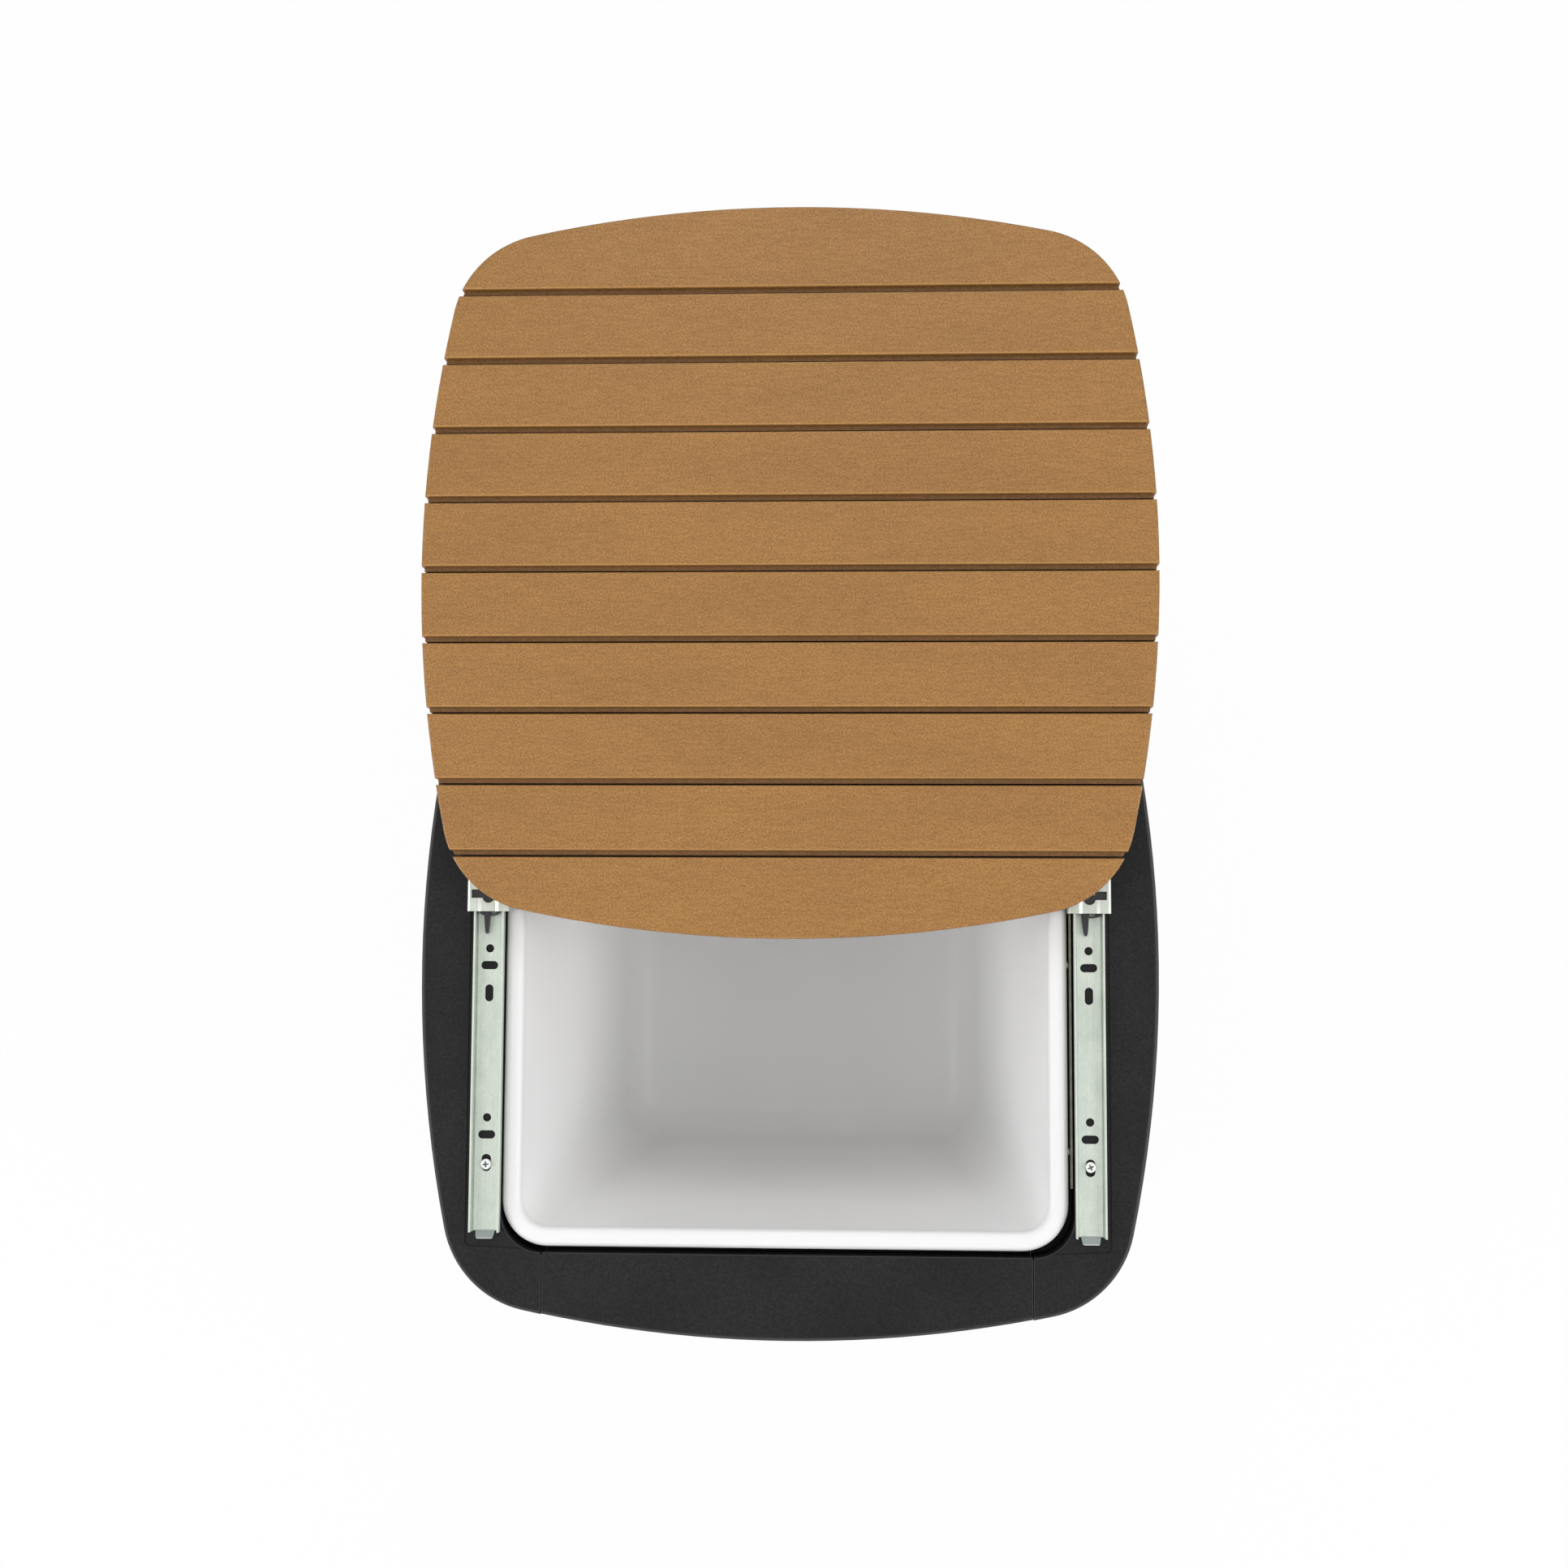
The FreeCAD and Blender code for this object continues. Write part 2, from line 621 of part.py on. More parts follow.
def release_lever(ring_x, opening_x, root_x, tip_x, root):
    """The black lever in the inner member: an eye on its rivet, a stem, an oval ring and a spike."""
    z0 = LEVER_Z
    z1 = LEVER_Z + LEVER_THICKNESS
    eye = rod(0, LEVER_PIVOT_Y, z0, z1, LEVER_EYE_RADIUS)
    stem = box(-LEVER_STEM_HALF, LEVER_STEM_HALF, LEVER_RING_Y, LEVER_PIVOT_Y, z0, z1)
    ring = ellipse_prism(ring_x, LEVER_RING_Y, *LEVER_RING_HALF, z0, z1 + LEVER_RING_RISE)
    widths = [(along, root * share) for along, share in LEVER_SPIKE_TAPER] + [(1.0, LEVER_SPIKE_TIP)]
    left_edge = []
    right_edge = []
    for along, half in widths:
        x = root_x + (tip_x - root_x) * along
        y = LEVER_RING_Y - LEVER_SPIKE_LENGTH * along
        left_edge.append(Vector(x - half, y, z0))
        right_edge.append(Vector(x + half, y, z0))
    corners = left_edge + right_edge[::-1]
    spike = prism(Part.makePolygon(corners + corners[:1]), LEVER_THICKNESS)
    shape = eye.fuse([stem, ring, spike]).removeSplitter()
    shape = shape.cut(ellipse_prism(opening_x, LEVER_RING_Y - 0.3, *LEVER_OPENING_HALF, z0 - 1, z1 + 2))
    return shape.cut(rod(0, LEVER_PIVOT_Y, z0 - 1, z1 + 2, LEVER_PIN_RADIUS + 0.06))


# Lever housings: a black bridge over each lever, clear of the middle member that passes over it

HOUSING_FRONT = SLIDE_FRONT + MIDDLE_OUT + 1.6
HOUSING_BACK = HOUSING_FRONT + 15.0
HOUSING_PLAY = 0.35
HOUSING_TOP_Z = MIDDLE_WEB_Z - BAND_SUNK - SHEET - HOUSING_PLAY
HOUSING_ROOF_Z = LEVER_Z + LEVER_THICKNESS + LEVER_RING_RISE + HOUSING_PLAY
HOUSING_HALF = 7.55
HOUSING_WING_HALF = 9.55
HOUSING_WING_Z = INNER_TOP_Z + 0.1
HOUSING_WALL_FROM = 4.85
HOUSING_WALL_TO = 6.85
HOUSING_WALL_FRONT = HOUSING_FRONT + 3.0
HOUSING_PEG_X = 5.85
HOUSING_PEG_Y = HOUSING_BACK - 3.0
HOUSING_PEG_RADIUS = 1.0


def lever_housing():
    """A roof with thin wings over the inner member's flanges, on two walls with a peg each."""
    web_top = RECESS_Z + SHEET
    roof = box(-HOUSING_HALF, HOUSING_HALF, HOUSING_FRONT, HOUSING_BACK, HOUSING_ROOF_Z, HOUSING_TOP_Z)
    wing = HOUSING_WING_HALF
    pieces = [box(-wing, wing, HOUSING_FRONT, HOUSING_BACK, HOUSING_WING_Z, HOUSING_TOP_Z)]
    for side in (-1, 1):
        x0, x1 = sorted((side * HOUSING_WALL_FROM, side * HOUSING_WALL_TO))
        pieces.append(box(x0, x1, HOUSING_WALL_FRONT, HOUSING_BACK, web_top + 0.05, HOUSING_TOP_Z))
        peg_x = side * HOUSING_PEG_X
        pieces.append(rod(peg_x, HOUSING_PEG_Y, RECESS_Z + 0.05, web_top + 1, HOUSING_PEG_RADIUS))
    return roof.fuse(pieces).removeSplitter()


def lever_rivet():
    """The rivet that the lever swings on."""
    top = LEVER_Z + LEVER_THICKNESS + 0.1
    pin = rod(0, LEVER_PIVOT_Y, RECESS_Z, top, LEVER_PIN_RADIUS)
    head = rod(0, LEVER_PIVOT_Y, top, top + 0.9, 3.0)
    head = head.makeFillet(0.5, [edge for edge in head.Edges if lies_level(edge, top + 0.9)])
    return pin.fuse(head).removeSplitter()


def make_slides():
    """Both slides with their balls, screws and release levers."""
    inner = inner_rail()
    outer = outer_rail()
    rail_screw = flat_screw(*RAIL_SCREW)
    inner_screw = pan_screw(*INNER_SCREW)
    outer_screws = []
    inner_screws = []
    rivets = []
    inner_middle = (SLIDE_FRONT + MIDDLE_OUT + SLIDE_FRONT + SLIDE_LENGTH) / 2
    outer_middle = SLIDE_FRONT + MIDDLE_OUT + TOP_OUT_OF_MIDDLE / 2 + SLIDE_LENGTH / 2
    housing = lever_housing()
    for side, name in ((-1, "left"), (1, "right")):
        x = side * SLIDE_X
        save("inner_rail_" + name, moved(inner, x, BASE_Y, 0))
        save("middle_rail_" + name, moved(middle_rail(side), x, BASE_Y, 0))
        save("outer_rail_" + name, moved(outer, x, TOP_Y, 0))
        save_balls("inner", name, x, inner_ball_x(), inner_middle, INNER_BALL_RADIUS)
        save_balls("outer", name, x, outer_ball_x(), outer_middle, OUTER_BALL_RADIUS)
        save("release_lever_" + name, moved(release_lever(*LEVER_SHAPES[side]), x, BASE_Y, 0))
        save("lever_housing_" + name, moved(housing, x, BASE_Y, 0))
        rivets.append(moved(lever_rivet(), x, BASE_Y, 0))
        for line in rail_screw_lines():
            outer_screws.append(moved(rail_screw, x, TOP_Y + line, UNDERSIDE_Z - SHEET))
        turned = inner_screw.copy()
        turned.rotate(Vector(0, 0, 0), UP, FRONT_SCREW_TURN[side])
        for line in inner_screw_lines(side):
            inner_screws.append(moved(turned, x, BASE_Y + line, RECESS_Z + SHEET))
    save("lever_rivets", Part.makeCompound(rivets))
    save("outer_rail_screws", Part.makeCompound(outer_screws))
    save("inner_rail_screws", Part.makeCompound(inner_screws))


# How far each front screw stands off the middle of its slot, and how far its cross is turned
FRONT_SCREW_SHIFT = {-1: -0.8, 1: 0.6}
FRONT_SCREW_TURN = {-1: 6.0, 1: 22.0}


def inner_screw_lines(side):
    """Where an inner member is screwed down: in its front and back lengthwise slots."""
    first = SLIDE_FRONT + LONG_SLOT_AT
    return first + FRONT_SCREW_SHIFT[side], first + 2 * HOLE_GROUP_PITCH


# Rim of the base

LEG_SCREWS = ((181.0, 168.0), (166.0, 182.5))
LEG_PILOT_TOP = RECESS_Z - 1.2
JOINT_PILOT_TOP = RIM_Z - 2.4
STRIP_SCREW_Y = (-110.0, 0.0, 110.0)
STRIP_SCREW_Z = 415.0


def rim_ring():
    """The whole rim: deck, outer skirt, the wall round the hole and the ledge that carries the bin."""
    low = RIM_Z - SKIRT_DEPTH
    under = RIM_Z - RIM_THICKNESS
    ring = rounded_outline_slab(0, low, RIM_Z, RIM_ROUND, 1.0)
    ledge_low = LEDGE_Z - LEDGE_THICKNESS
    hollow = outline_slab(SKIRT_WALL, low - 1, under)
    kept = rectangle_prism(HOLE_HALF_X + HOLE_WALL, HOLE_HALF_Y + HOLE_WALL, HOLE_CORNER + HOLE_WALL,
                           ledge_low, under)
    ring = ring.cut(hollow.cut(kept))
    ring = ring.cut(rectangle_prism(HOLE_HALF_X, HOLE_HALF_Y, HOLE_CORNER, LEDGE_Z, RIM_Z + 1))
    ring = ring.cut(rectangle_prism(HOLE_HALF_X - LEDGE_WIDTH, HOLE_HALF_Y - LEDGE_WIDTH,
                                    HOLE_CORNER - LEDGE_WIDTH, low - 1, LEDGE_Z + 1))
    for side in (-1, 1):
        ring = ring.cut(slide_recess(side))
    return ring


def slide_recess(side):
    """The shallow recess that a slide lies in; its front edge runs a little askew."""
    points = ((JOINT_X, RECESS_FRONT_INNER), (RECESS_OUTER_X, RECESS_FRONT_OUTER),
              (RECESS_OUTER_X, RECESS_BACK), (JOINT_X, RECESS_BACK))
    corners = [Vector(side * x, y, RECESS_Z) for x, y in points]
    pocket = prism(Part.makePolygon(corners + corners[:1]), RIM_Z + 1 - RECESS_Z)
    outer = [edge for edge in pocket.Edges if edge.BoundBox.ZLength > (RIM_Z - RECESS_Z) / 2
             and abs(edge.BoundBox.XMin - side * RECESS_OUTER_X) < 1e-4]
    return pocket.makeFillet(RECESS_CORNER, outer)


def rim_holes(ring):
    """The bosses and pilot holes for the slides' screws and the legs' screws."""
    under = RIM_Z - RIM_THICKNESS
    for side in (-1, 1):
        for line in inner_screw_lines(side):
            ring = ring.fuse(rod(side * SLIDE_X, line, BOSS_Z, under + 1, BOSS_RADIUS)).removeSplitter()
            ring = ring.cut(rod(side * SLIDE_X, line, BOSS_Z - 1, RECESS_Z + 1, INNER_SCREW[2] + THREAD_PLAY))
        for end in (-1, 1):
            for x, y in LEG_SCREWS:
                ring = ring.cut(rod(side * x, end * y, under - 1, LEG_PILOT_TOP, LEG_SCREW[2] + THREAD_PLAY))
        for end in (-1, 1):
            for x, y in joint_screw_places(side, end):
                ring = ring.cut(rod(x, y, under - 1, JOINT_PILOT_TOP, JOINT_SCREW[2] + THREAD_PLAY))
    strip_outer_x = STRIP_INNER_X + STRIP_THICKNESS
    outward = Vector(1, 0, 0)
    for y in STRIP_SCREW_Y:
        boss = Part.makeCylinder(STRIP_BOSS_RADIUS, HOLE_HALF_X + 1 - strip_outer_x,
                                 Vector(strip_outer_x, y, STRIP_SCREW_Z), outward)
        ring = ring.fuse(boss).removeSplitter()
        start = Vector(strip_outer_x - 1, y, STRIP_SCREW_Z)
        ring = ring.cut(Part.makeCylinder(STRIP_SCREW[2] + THREAD_PLAY, 7, start, outward))
    return ring


def soften_hole(shape):
    """Rounds the edge of the deck where it meets the hole."""
    edges = []
    for edge in shape.Edges:
        for z in (RIM_Z, RECESS_Z):
            if not lies_level(edge, z):
                continue
            middle = edge.valueAt((edge.FirstParameter + edge.LastParameter) / 2)
            if on_hole_edge(middle.x, middle.y):
                edges.append(edge)
    return shape.makeFillet(HOLE_ROUND, edges)


def on_hole_edge(x, y):
    """Whether a point lies on the outline of the hole."""
    x = abs(x)
    y = abs(y)
    corner_x = HOLE_HALF_X - HOLE_CORNER
    corner_y = HOLE_HALF_Y - HOLE_CORNER
    if x > corner_x and y > corner_y:
        return abs(math.hypot(x - corner_x, y - corner_y) - HOLE_CORNER) < 0.01
    return abs(x - HOLE_HALF_X) < 0.01 or abs(y - HOLE_HALF_Y) < 0.01


JOINT_PLATE_HALF_X = 15.0
JOINT_PLATE_Y = (176.5, 190.5)
JOINT_PLATE_THICKNESS = 2.0


def joint_screw_places(side, end):
    """The two screws of a joint plate."""
    y = end * sum(JOINT_PLATE_Y) / 2
    return [(side * JOINT_X + step, y) for step in (-9.0, 9.0)]


def joint_grooves():
    """The small V along each joint line and the dimple where it meets the hole, to cut with."""
    cuts = []
    far = HALF_DEPTH + 10
    for side in (-1, 1):
        for end in (-1, 1):
            groove = box(-0.45, 0.45, 0, far, -0.45, 0.45)
            groove.rotate(Vector(0, 0, 0), Vector(0, 1, 0), 45)
            groove.translate(Vector(side * JOINT_X, 0 if end > 0 else -far, RIM_Z))
            cuts.append(groove)
            cuts.append(rod(side * JOINT_X, end * HOLE_HALF_Y, RIM_Z - 0.6, RIM_Z + 1, 1.0))
    return cuts


def make_rim():
    """The four pieces of the rim, split at the joint lines."""
    ring = rim_holes(rim_ring())
    low = RIM_Z - SKIRT_DEPTH - 1
    high = RIM_Z + 1
    far = HALF_DEPTH + 10
    half_gap = JOINT_GAP / 2
    grooves = joint_grooves()
    for side, name in ((-1, "left"), (1, "right")):
        edges = sorted((side * (JOINT_X + half_gap), side * far))
        piece = ring.common(box(edges[0], edges[1], -far, far, low, high))
        save("rim_" + name, on_base(soften_hole(piece).cut(grooves)))
    smaller = rounded_outline_slab(FRONT_PIECE_SET_IN, RIM_Z - SKIRT_DEPTH, RIM_Z, RIM_ROUND, 1.0)
    trimmed = ring.common(smaller)
    for end, name in ((-1, "front"), (1, "back")):
        edges = sorted((end * 100.0, end * far))
        width = JOINT_X - half_gap
        piece = trimmed.common(box(-width, width, edges[0], edges[1], low, high))
        save("rim_" + name, on_base(soften_hole(piece).cut(grooves)))


def make_joint_plates():
    """The steel plates under the joint lines, with their screws."""
    under = RIM_Z - RIM_THICKNESS
    plates = []
    screws = []
    screw = pan_screw(*JOINT_SCREW)
    screw.rotate(Vector(0, 0, 0), Vector(1, 0, 0), 180)
    for side in (-1, 1):
        for end in (-1, 1):
            y0, y1 = sorted((end * JOINT_PLATE_Y[0], end * JOINT_PLATE_Y[1]))
            x = side * JOINT_X
            plate = box(x - JOINT_PLATE_HALF_X, x + JOINT_PLATE_HALF_X, y0, y1,
                        under - JOINT_PLATE_THICKNESS, under)
            for sx, sy in joint_screw_places(side, end):
                plate = plate.cut(rod(sx, sy, under - 5, under + 1, 1.9))
                screws.append(moved(screw, sx, sy, under - JOINT_PLATE_THICKNESS))
            plates.append(plate)
    save("joint_plates", on_base(Part.makeCompound(plates)))
    save("joint_plate_screws", on_base(Part.makeCompound(screws)))


def make_strip():
    """The steel strip that keeps the bin against the other side of the hole, and its screws."""
    strip_outer_x = STRIP_INNER_X + STRIP_THICKNESS
    strip = box(STRIP_INNER_X, strip_outer_x, STRIP_FRONT, STRIP_BACK, STRIP_LOW_Z, STRIP_TOP_Z)
    outward = Vector(1, 0, 0)
    screws = []
    for y in STRIP_SCREW_Y:
        face = Vector(STRIP_INNER_X, y, STRIP_SCREW_Z)
        strip = strip.cut(Part.makeCylinder(STRIP_SCREW[2] + THREAD_PLAY, 6, face - outward, outward))
        shank = Part.makeCylinder(STRIP_SCREW[2], STRIP_SCREW[3], face, outward)
        head = Part.makeCylinder(STRIP_SCREW[0], STRIP_SCREW[1], face, outward * -1)
        screws.append(shank.fuse(head).removeSplitter())
    save("side_strip_right", on_base(strip))
    save("side_strip_screws", on_base(Part.makeCompound(screws)))


# Ice bin

def bin_loft(inset, z_low, z_high):
    """The bin's tapered body, drawn in from the inner edge of its rim by inset."""
    wires = []
    for z in (z_low, z_high):
        taper = BIN_DRAFT * (BIN_RIM_Z - z) / BIN_DEPTH
        shrink = BIN_RIM_WIDTH + inset + taper
        radius = BIN_CORNER - BIN_RIM_WIDTH - inset + BIN_CORNER_GROWTH * (BIN_RIM_Z - z) / BIN_DEPTH
        wires.append(rounded_rectangle(BIN_HALF_X - shrink, BIN_HALF_Y - shrink, radius, z))
    return Part.makeLoft(wires, True, True)


def ice_bin():
    """A deep tapered bin whose broad rim turns down and stands on the ledge."""
    bottom = BIN_RIM_Z - BIN_DEPTH
    rim = rectangle_prism(BIN_HALF_X, BIN_HALF_Y, BIN_CORNER, LEDGE_Z, BIN_RIM_Z)
    rim = rim.makeFillet(BIN_RIM_ROUND, [edge for edge in rim.Edges if lies_level(edge, BIN_RIM_Z)])
    under = rectangle_prism(BIN_HALF_X - BIN_WALL, BIN_HALF_Y - BIN_WALL, BIN_CORNER - BIN_WALL,
                            LEDGE_Z - 1, BIN_RIM_Z - BIN_WALL)
    rim = rim.cut(under)
    outer = bin_loft(-BIN_WALL, bottom, BIN_RIM_Z - BIN_WALL / 2)
    outer = outer.makeFillet(BIN_BOTTOM_ROUND, [edge for edge in outer.Edges if lies_level(edge, bottom)])
    inner = bin_loft(0, bottom + BIN_WALL, BIN_RIM_Z + 1)
    floor_z = bottom + BIN_WALL
    inner = inner.makeFillet(BIN_BOTTOM_ROUND - BIN_WALL,
                             [edge for edge in inner.Edges if lies_level(edge, floor_z)])
    shape = rim.fuse(outer).removeSplitter().cut(inner)
    mouth = [edge for edge in shape.Edges if lies_level(edge, BIN_RIM_Z)
             and max(abs(edge.BoundBox.XMin), abs(edge.BoundBox.XMax)) < BIN_HALF_X - BIN_RIM_ROUND - 1]
    return shape.makeFillet(BIN_RIM_ROUND - 0.5, mouth)


# Legs and panels

def leg():
    """The leg at +X, +Y: a curved angle post that narrows to its foot."""
    top = RIM_Z - RIM_THICKNESS
    low = GLIDE_HEIGHT
    far = HALF_DEPTH + 20
    inside = outline_slab(LEG_SET_IN + LEG_WALL, low + FOOT_PLATE, top + 1)
    post = outline_slab(LEG_SET_IN, low, top).cut(inside)
    upper = box(LEG_TOP_FROM, far, LEG_TOP_FROM, far, LEG_TAPER_Z, top)
    squares = []
    for start, z in ((LEG_FOOT_FROM, low), (LEG_TOP_FROM, LEG_TAPER_Z)):
        places = ((start, start), (far, start), (far, far), (start, far), (start, start))
        squares.append(Part.makePolygon([Vector(x, y, z) for x, y in places]))
    reach = upper.fuse(Part.makeLoft(squares, True, True)).removeSplitter()
    post = post.common(reach)
    plate = outline_slab(LEG_SET_IN, top - FOOT_PLATE, top)
    plate = plate.cut(rectangle_prism(HOLE_HALF_X + HOLE_WALL + 1, HOLE_HALF_Y + HOLE_WALL + 1,
                                      HOLE_CORNER + HOLE_WALL + 1, top - FOOT_PLATE - 1, top + 1))
    plate_x = JOINT_X + JOINT_PLATE_HALF_X + 1.5
    plate = plate.common(box(plate_x, far, LEG_PLATE_FROM, far, top - FOOT_PLATE, top))
    post = post.fuse(plate).removeSplitter()
    for x, y in LEG_SCREWS:
        post = post.cut(rod(x, y, top - FOOT_PLATE - 1, top + 1, LEG_SCREW[2] + CLEARANCE))
    for end_wise in (False, True):
        for start, outward in panel_screw_frames(end_wise):
            if start.x > 0 and start.y > 0:
                post = post.cut(panel_hole(start, outward))
    return post.cut(rod(GLIDE_AT, GLIDE_AT, low - 1, low + 4, 2.6))


def mirrored(shape, side, end):
    """Brings a piece drawn at +X, +Y to another corner."""
    if side < 0:
        shape = shape.mirror(Vector(0, 0, 0), Vector(1, 0, 0))
    if end < 0:
        shape = shape.mirror(Vector(0, 0, 0), Vector(0, 1, 0))
    return shape


def glide():
    """A rubber glide pressed into the foot plate."""
    pad = rod(GLIDE_AT, GLIDE_AT, 0, GLIDE_HEIGHT, GLIDE_RADIUS)
    pad = pad.makeFillet(1.2, [edge for edge in pad.Edges if lies_level(edge, 0)])
    return pad.fuse(rod(GLIDE_AT, GLIDE_AT, GLIDE_HEIGHT, GLIDE_HEIGHT + 3.5, 2.5)).removeSplitter()


def make_legs():
    """Four legs with their screws and glides."""
    post = leg()
    pad = glide()
    screw = pan_screw(*LEG_SCREW)
    screw.rotate(Vector(0, 0, 0), Vector(1, 0, 0), 180)
    under = RIM_Z - RIM_THICKNESS - FOOT_PLATE
    screws = []
    glides = []
    for end, end_name in ((-1, "front"), (1, "back")):
        for side, side_name in ((-1, "left"), (1, "right")):
            save("leg_%s_%s" % (end_name, side_name), on_base(mirrored(post, side, end)))
            glides.append(mirrored(pad, side, end))
            for x, y in LEG_SCREWS:
                screws.append(moved(screw, side * x, end * y, under))
    save("leg_glides", on_base(Part.makeCompound(glides)))
    save("leg_screws", on_base(Part.makeCompound(screws)))


def side_panel():
    """The panel at +X: it follows the outline behind the legs, with three grooves across its face."""
    outer = LEG_SET_IN + LEG_WALL
    top = RIM_Z - RIM_THICKNESS
    far = HALF_WIDTH + 10
    inside = outline_slab(outer + PANEL_WALL, PANEL_LOW_Z - 1, top + 1)
    shell = outline_slab(outer, PANEL_LOW_Z, top).cut(inside)
    flange = outline_slab(outer, PANEL_LOW_Z, PANEL_LOW_Z + PANEL_WALL)
    flange = flange.cut(outline_slab(outer + 12, PANEL_LOW_Z - 1, PANEL_LOW_Z + PANEL_WALL + 1))
    shell = shell.fuse(flange).removeSplitter()
    for z in PANEL_GROOVE_Z:
        ring = outline_slab(0, z - PANEL_GROOVE_HALF, z + PANEL_GROOVE_HALF)
        shell = shell.cut(ring.cut(outline_slab(outer + PANEL_GROOVE_DEPTH, z - 5, z + 5)))
    return shell


PANEL_SCREW_ALONG = 127.0
PANEL_SCREW_Z = (160.0, 385.0)


def panel_screw_frames(end_wise):
    """Where the screws of the panel at +X (or at +Y when end_wise) stand, and which way they point."""
    outer = LEG_SET_IN + LEG_WALL + PANEL_WALL
    half = HALF_DEPTH if end_wise else HALF_WIDTH
    middle = half - SIDE_RADIUS
    angle = math.asin(PANEL_SCREW_ALONG / SIDE_RADIUS)
    frames = []
    for turn in (-angle, angle):
        outward = Vector(math.cos(turn), math.sin(turn), 0)
        start = Vector(middle, 0, 0) + outward * (SIDE_RADIUS - outer - 0.02)
        if end_wise:
            outward = Vector(outward.y, outward.x, 0)
            start = Vector(start.y, start.x, 0)
        for z in PANEL_SCREW_Z:
            frames.append((start + Vector(0, 0, z), outward))
    return frames


def make_panels():
    """Four panels behind the legs, each held by four screws driven from inside."""
    ring = side_panel()
    far = HALF_DEPTH + 10
    low = PANEL_LOW_Z - 1
    high = RIM_Z
    screws = []
    for side, name in ((-1, "left"), (1, "right")):
        x0, x1 = sorted((side * 150.0, side * far))
        piece = ring.common(box(x0, x1, -PANEL_HALF, PANEL_HALF, low, high))
        for start, outward in panel_screw_frames(False):
            start = Vector(side * start.x, start.y, start.z)
            outward = Vector(side * outward.x, outward.y, 0)
            screws.append(panel_screw(start, outward))
            piece = piece.cut(panel_hole(start, outward))
        save("panel_" + name, on_base(piece))
    for end, name in ((-1, "front"), (1, "back")):
        y0, y1 = sorted((end * 150.0, end * far))
        piece = ring.common(box(-PANEL_HALF, PANEL_HALF, y0, y1, low, high))
        for start, outward in panel_screw_frames(True):
            start = Vector(start.x, end * start.y, start.z)
            outward = Vector(outward.x, end * outward.y, 0)
            screws.append(panel_screw(start, outward))
            piece = piece.cut(panel_hole(start, outward))
        save("panel_" + name, on_base(piece))
    save("panel_screws", on_base(Part.makeCompound(screws)))


def panel_screw(start, outward):
    """A pan-head screw on a panel's inner face, its shank outward."""
    head = Part.makeCylinder(PANEL_SCREW[0], PANEL_SCREW[1], start, outward * -1)
    shank = Part.makeCylinder(PANEL_SCREW[2], PANEL_SCREW[3], start, outward)
    return head.fuse(shank).removeSplitter()


def panel_hole(start, outward):
    """The hole through a panel and into the leg for a panel screw."""
    return Part.makeCylinder(PANEL_SCREW[2] + THREAD_PLAY, PANEL_WALL + LEG_WALL, start - outward, outward)


def main():
    os.makedirs(PARTS, exist_ok=True)
    make_top()
    make_slides()
    make_rim()
    make_joint_plates()
    make_strip()
    save("ice_bin", moved(ice_bin(), BIN_X, BASE_Y + BIN_Y, 0))
    make_legs()
    make_panels()


main()
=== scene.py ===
import json
import math
import bpy
import bmesh
from mathutils import Matrix, Vector

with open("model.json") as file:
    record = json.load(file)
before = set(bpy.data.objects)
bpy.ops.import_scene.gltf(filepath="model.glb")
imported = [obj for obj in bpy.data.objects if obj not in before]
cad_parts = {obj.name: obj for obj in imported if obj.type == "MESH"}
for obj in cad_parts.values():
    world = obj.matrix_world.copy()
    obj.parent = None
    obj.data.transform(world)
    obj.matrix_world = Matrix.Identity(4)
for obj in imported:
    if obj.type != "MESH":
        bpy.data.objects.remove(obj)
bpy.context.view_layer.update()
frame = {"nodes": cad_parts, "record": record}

nodes = frame["nodes"]
slotOf = {entry["node"]: entry["material_slot"] for entry in frame["record"]["subparts"]}
scene = bpy.context.scene
plainWhite = (1.0, 1.0, 1.0)

# Camera: almost straight down, with a slight lean and turn
cameraPose = {
    "focalPixels": 2400.0,
    "imagePixels": 1932.0,
    "sensor": 36.0,
    "place": (0.0488, -0.1137, 1.5870),
    "tiltX": 5.095,
    "tiltY": 2.528,
    "roll": 0.283,
}


def addCamera(pose):
    data = bpy.data.cameras.new("photoCamera")
    data.sensor_width = pose["sensor"]
    data.lens = pose["sensor"] * pose["focalPixels"] / pose["imagePixels"]
    camera = bpy.data.objects.new("photoCamera", data)
    turn = (Matrix.Rotation(math.radians(pose["tiltY"]), 3, "Y")
            @ Matrix.Rotation(math.radians(pose["tiltX"]), 3, "X")
            @ Matrix.Rotation(math.radians(pose["roll"]), 3, "Z"))
    camera.rotation_euler = turn.to_euler()
    camera.location = pose["place"]
    scene.collection.objects.link(camera)
    scene.camera = camera


addCamera(cameraPose)
print("camera placed")

# Light: a soft lamp at each side, a weak one in front, one high up behind, and a pale room
lighting = {
    "sidePlace": (1.42, -0.38, 1.38),
    "sideSize": 1.0,
    "sidePower": 12.9,
    "frontPlace": (0.0, -1.5, 1.45),
    "frontSize": 1.1,
    "frontPower": 3.2,
    "backPlace": (0.0, 1.9, 2.3),
    "backSize": 1.4,
    "backPower": 14.0,
    "roomLevel": 0.52,
    "aim": (0.0, -0.1, 0.4),
}

# Floor: a broad pale disc that keeps a faint shadow
floorLook = {
    "radius": 6.0,
    "corners": 96,
    "matt": (0.86, 0.86, 0.86),
    "glowShare": 0.95,
}


def addSoftLamp(name, place, size, power, aim):
    data = bpy.data.lights.new(name, "AREA")
    data.shape = "DISK"
    data.size = size
    data.energy = power
    lamp = bpy.data.objects.new(name, data)
    lamp.location = place
    lamp.rotation_euler = (Vector(aim) - Vector(place)).to_track_quat("-Z", "Y").to_euler()
    scene.collection.objects.link(lamp)


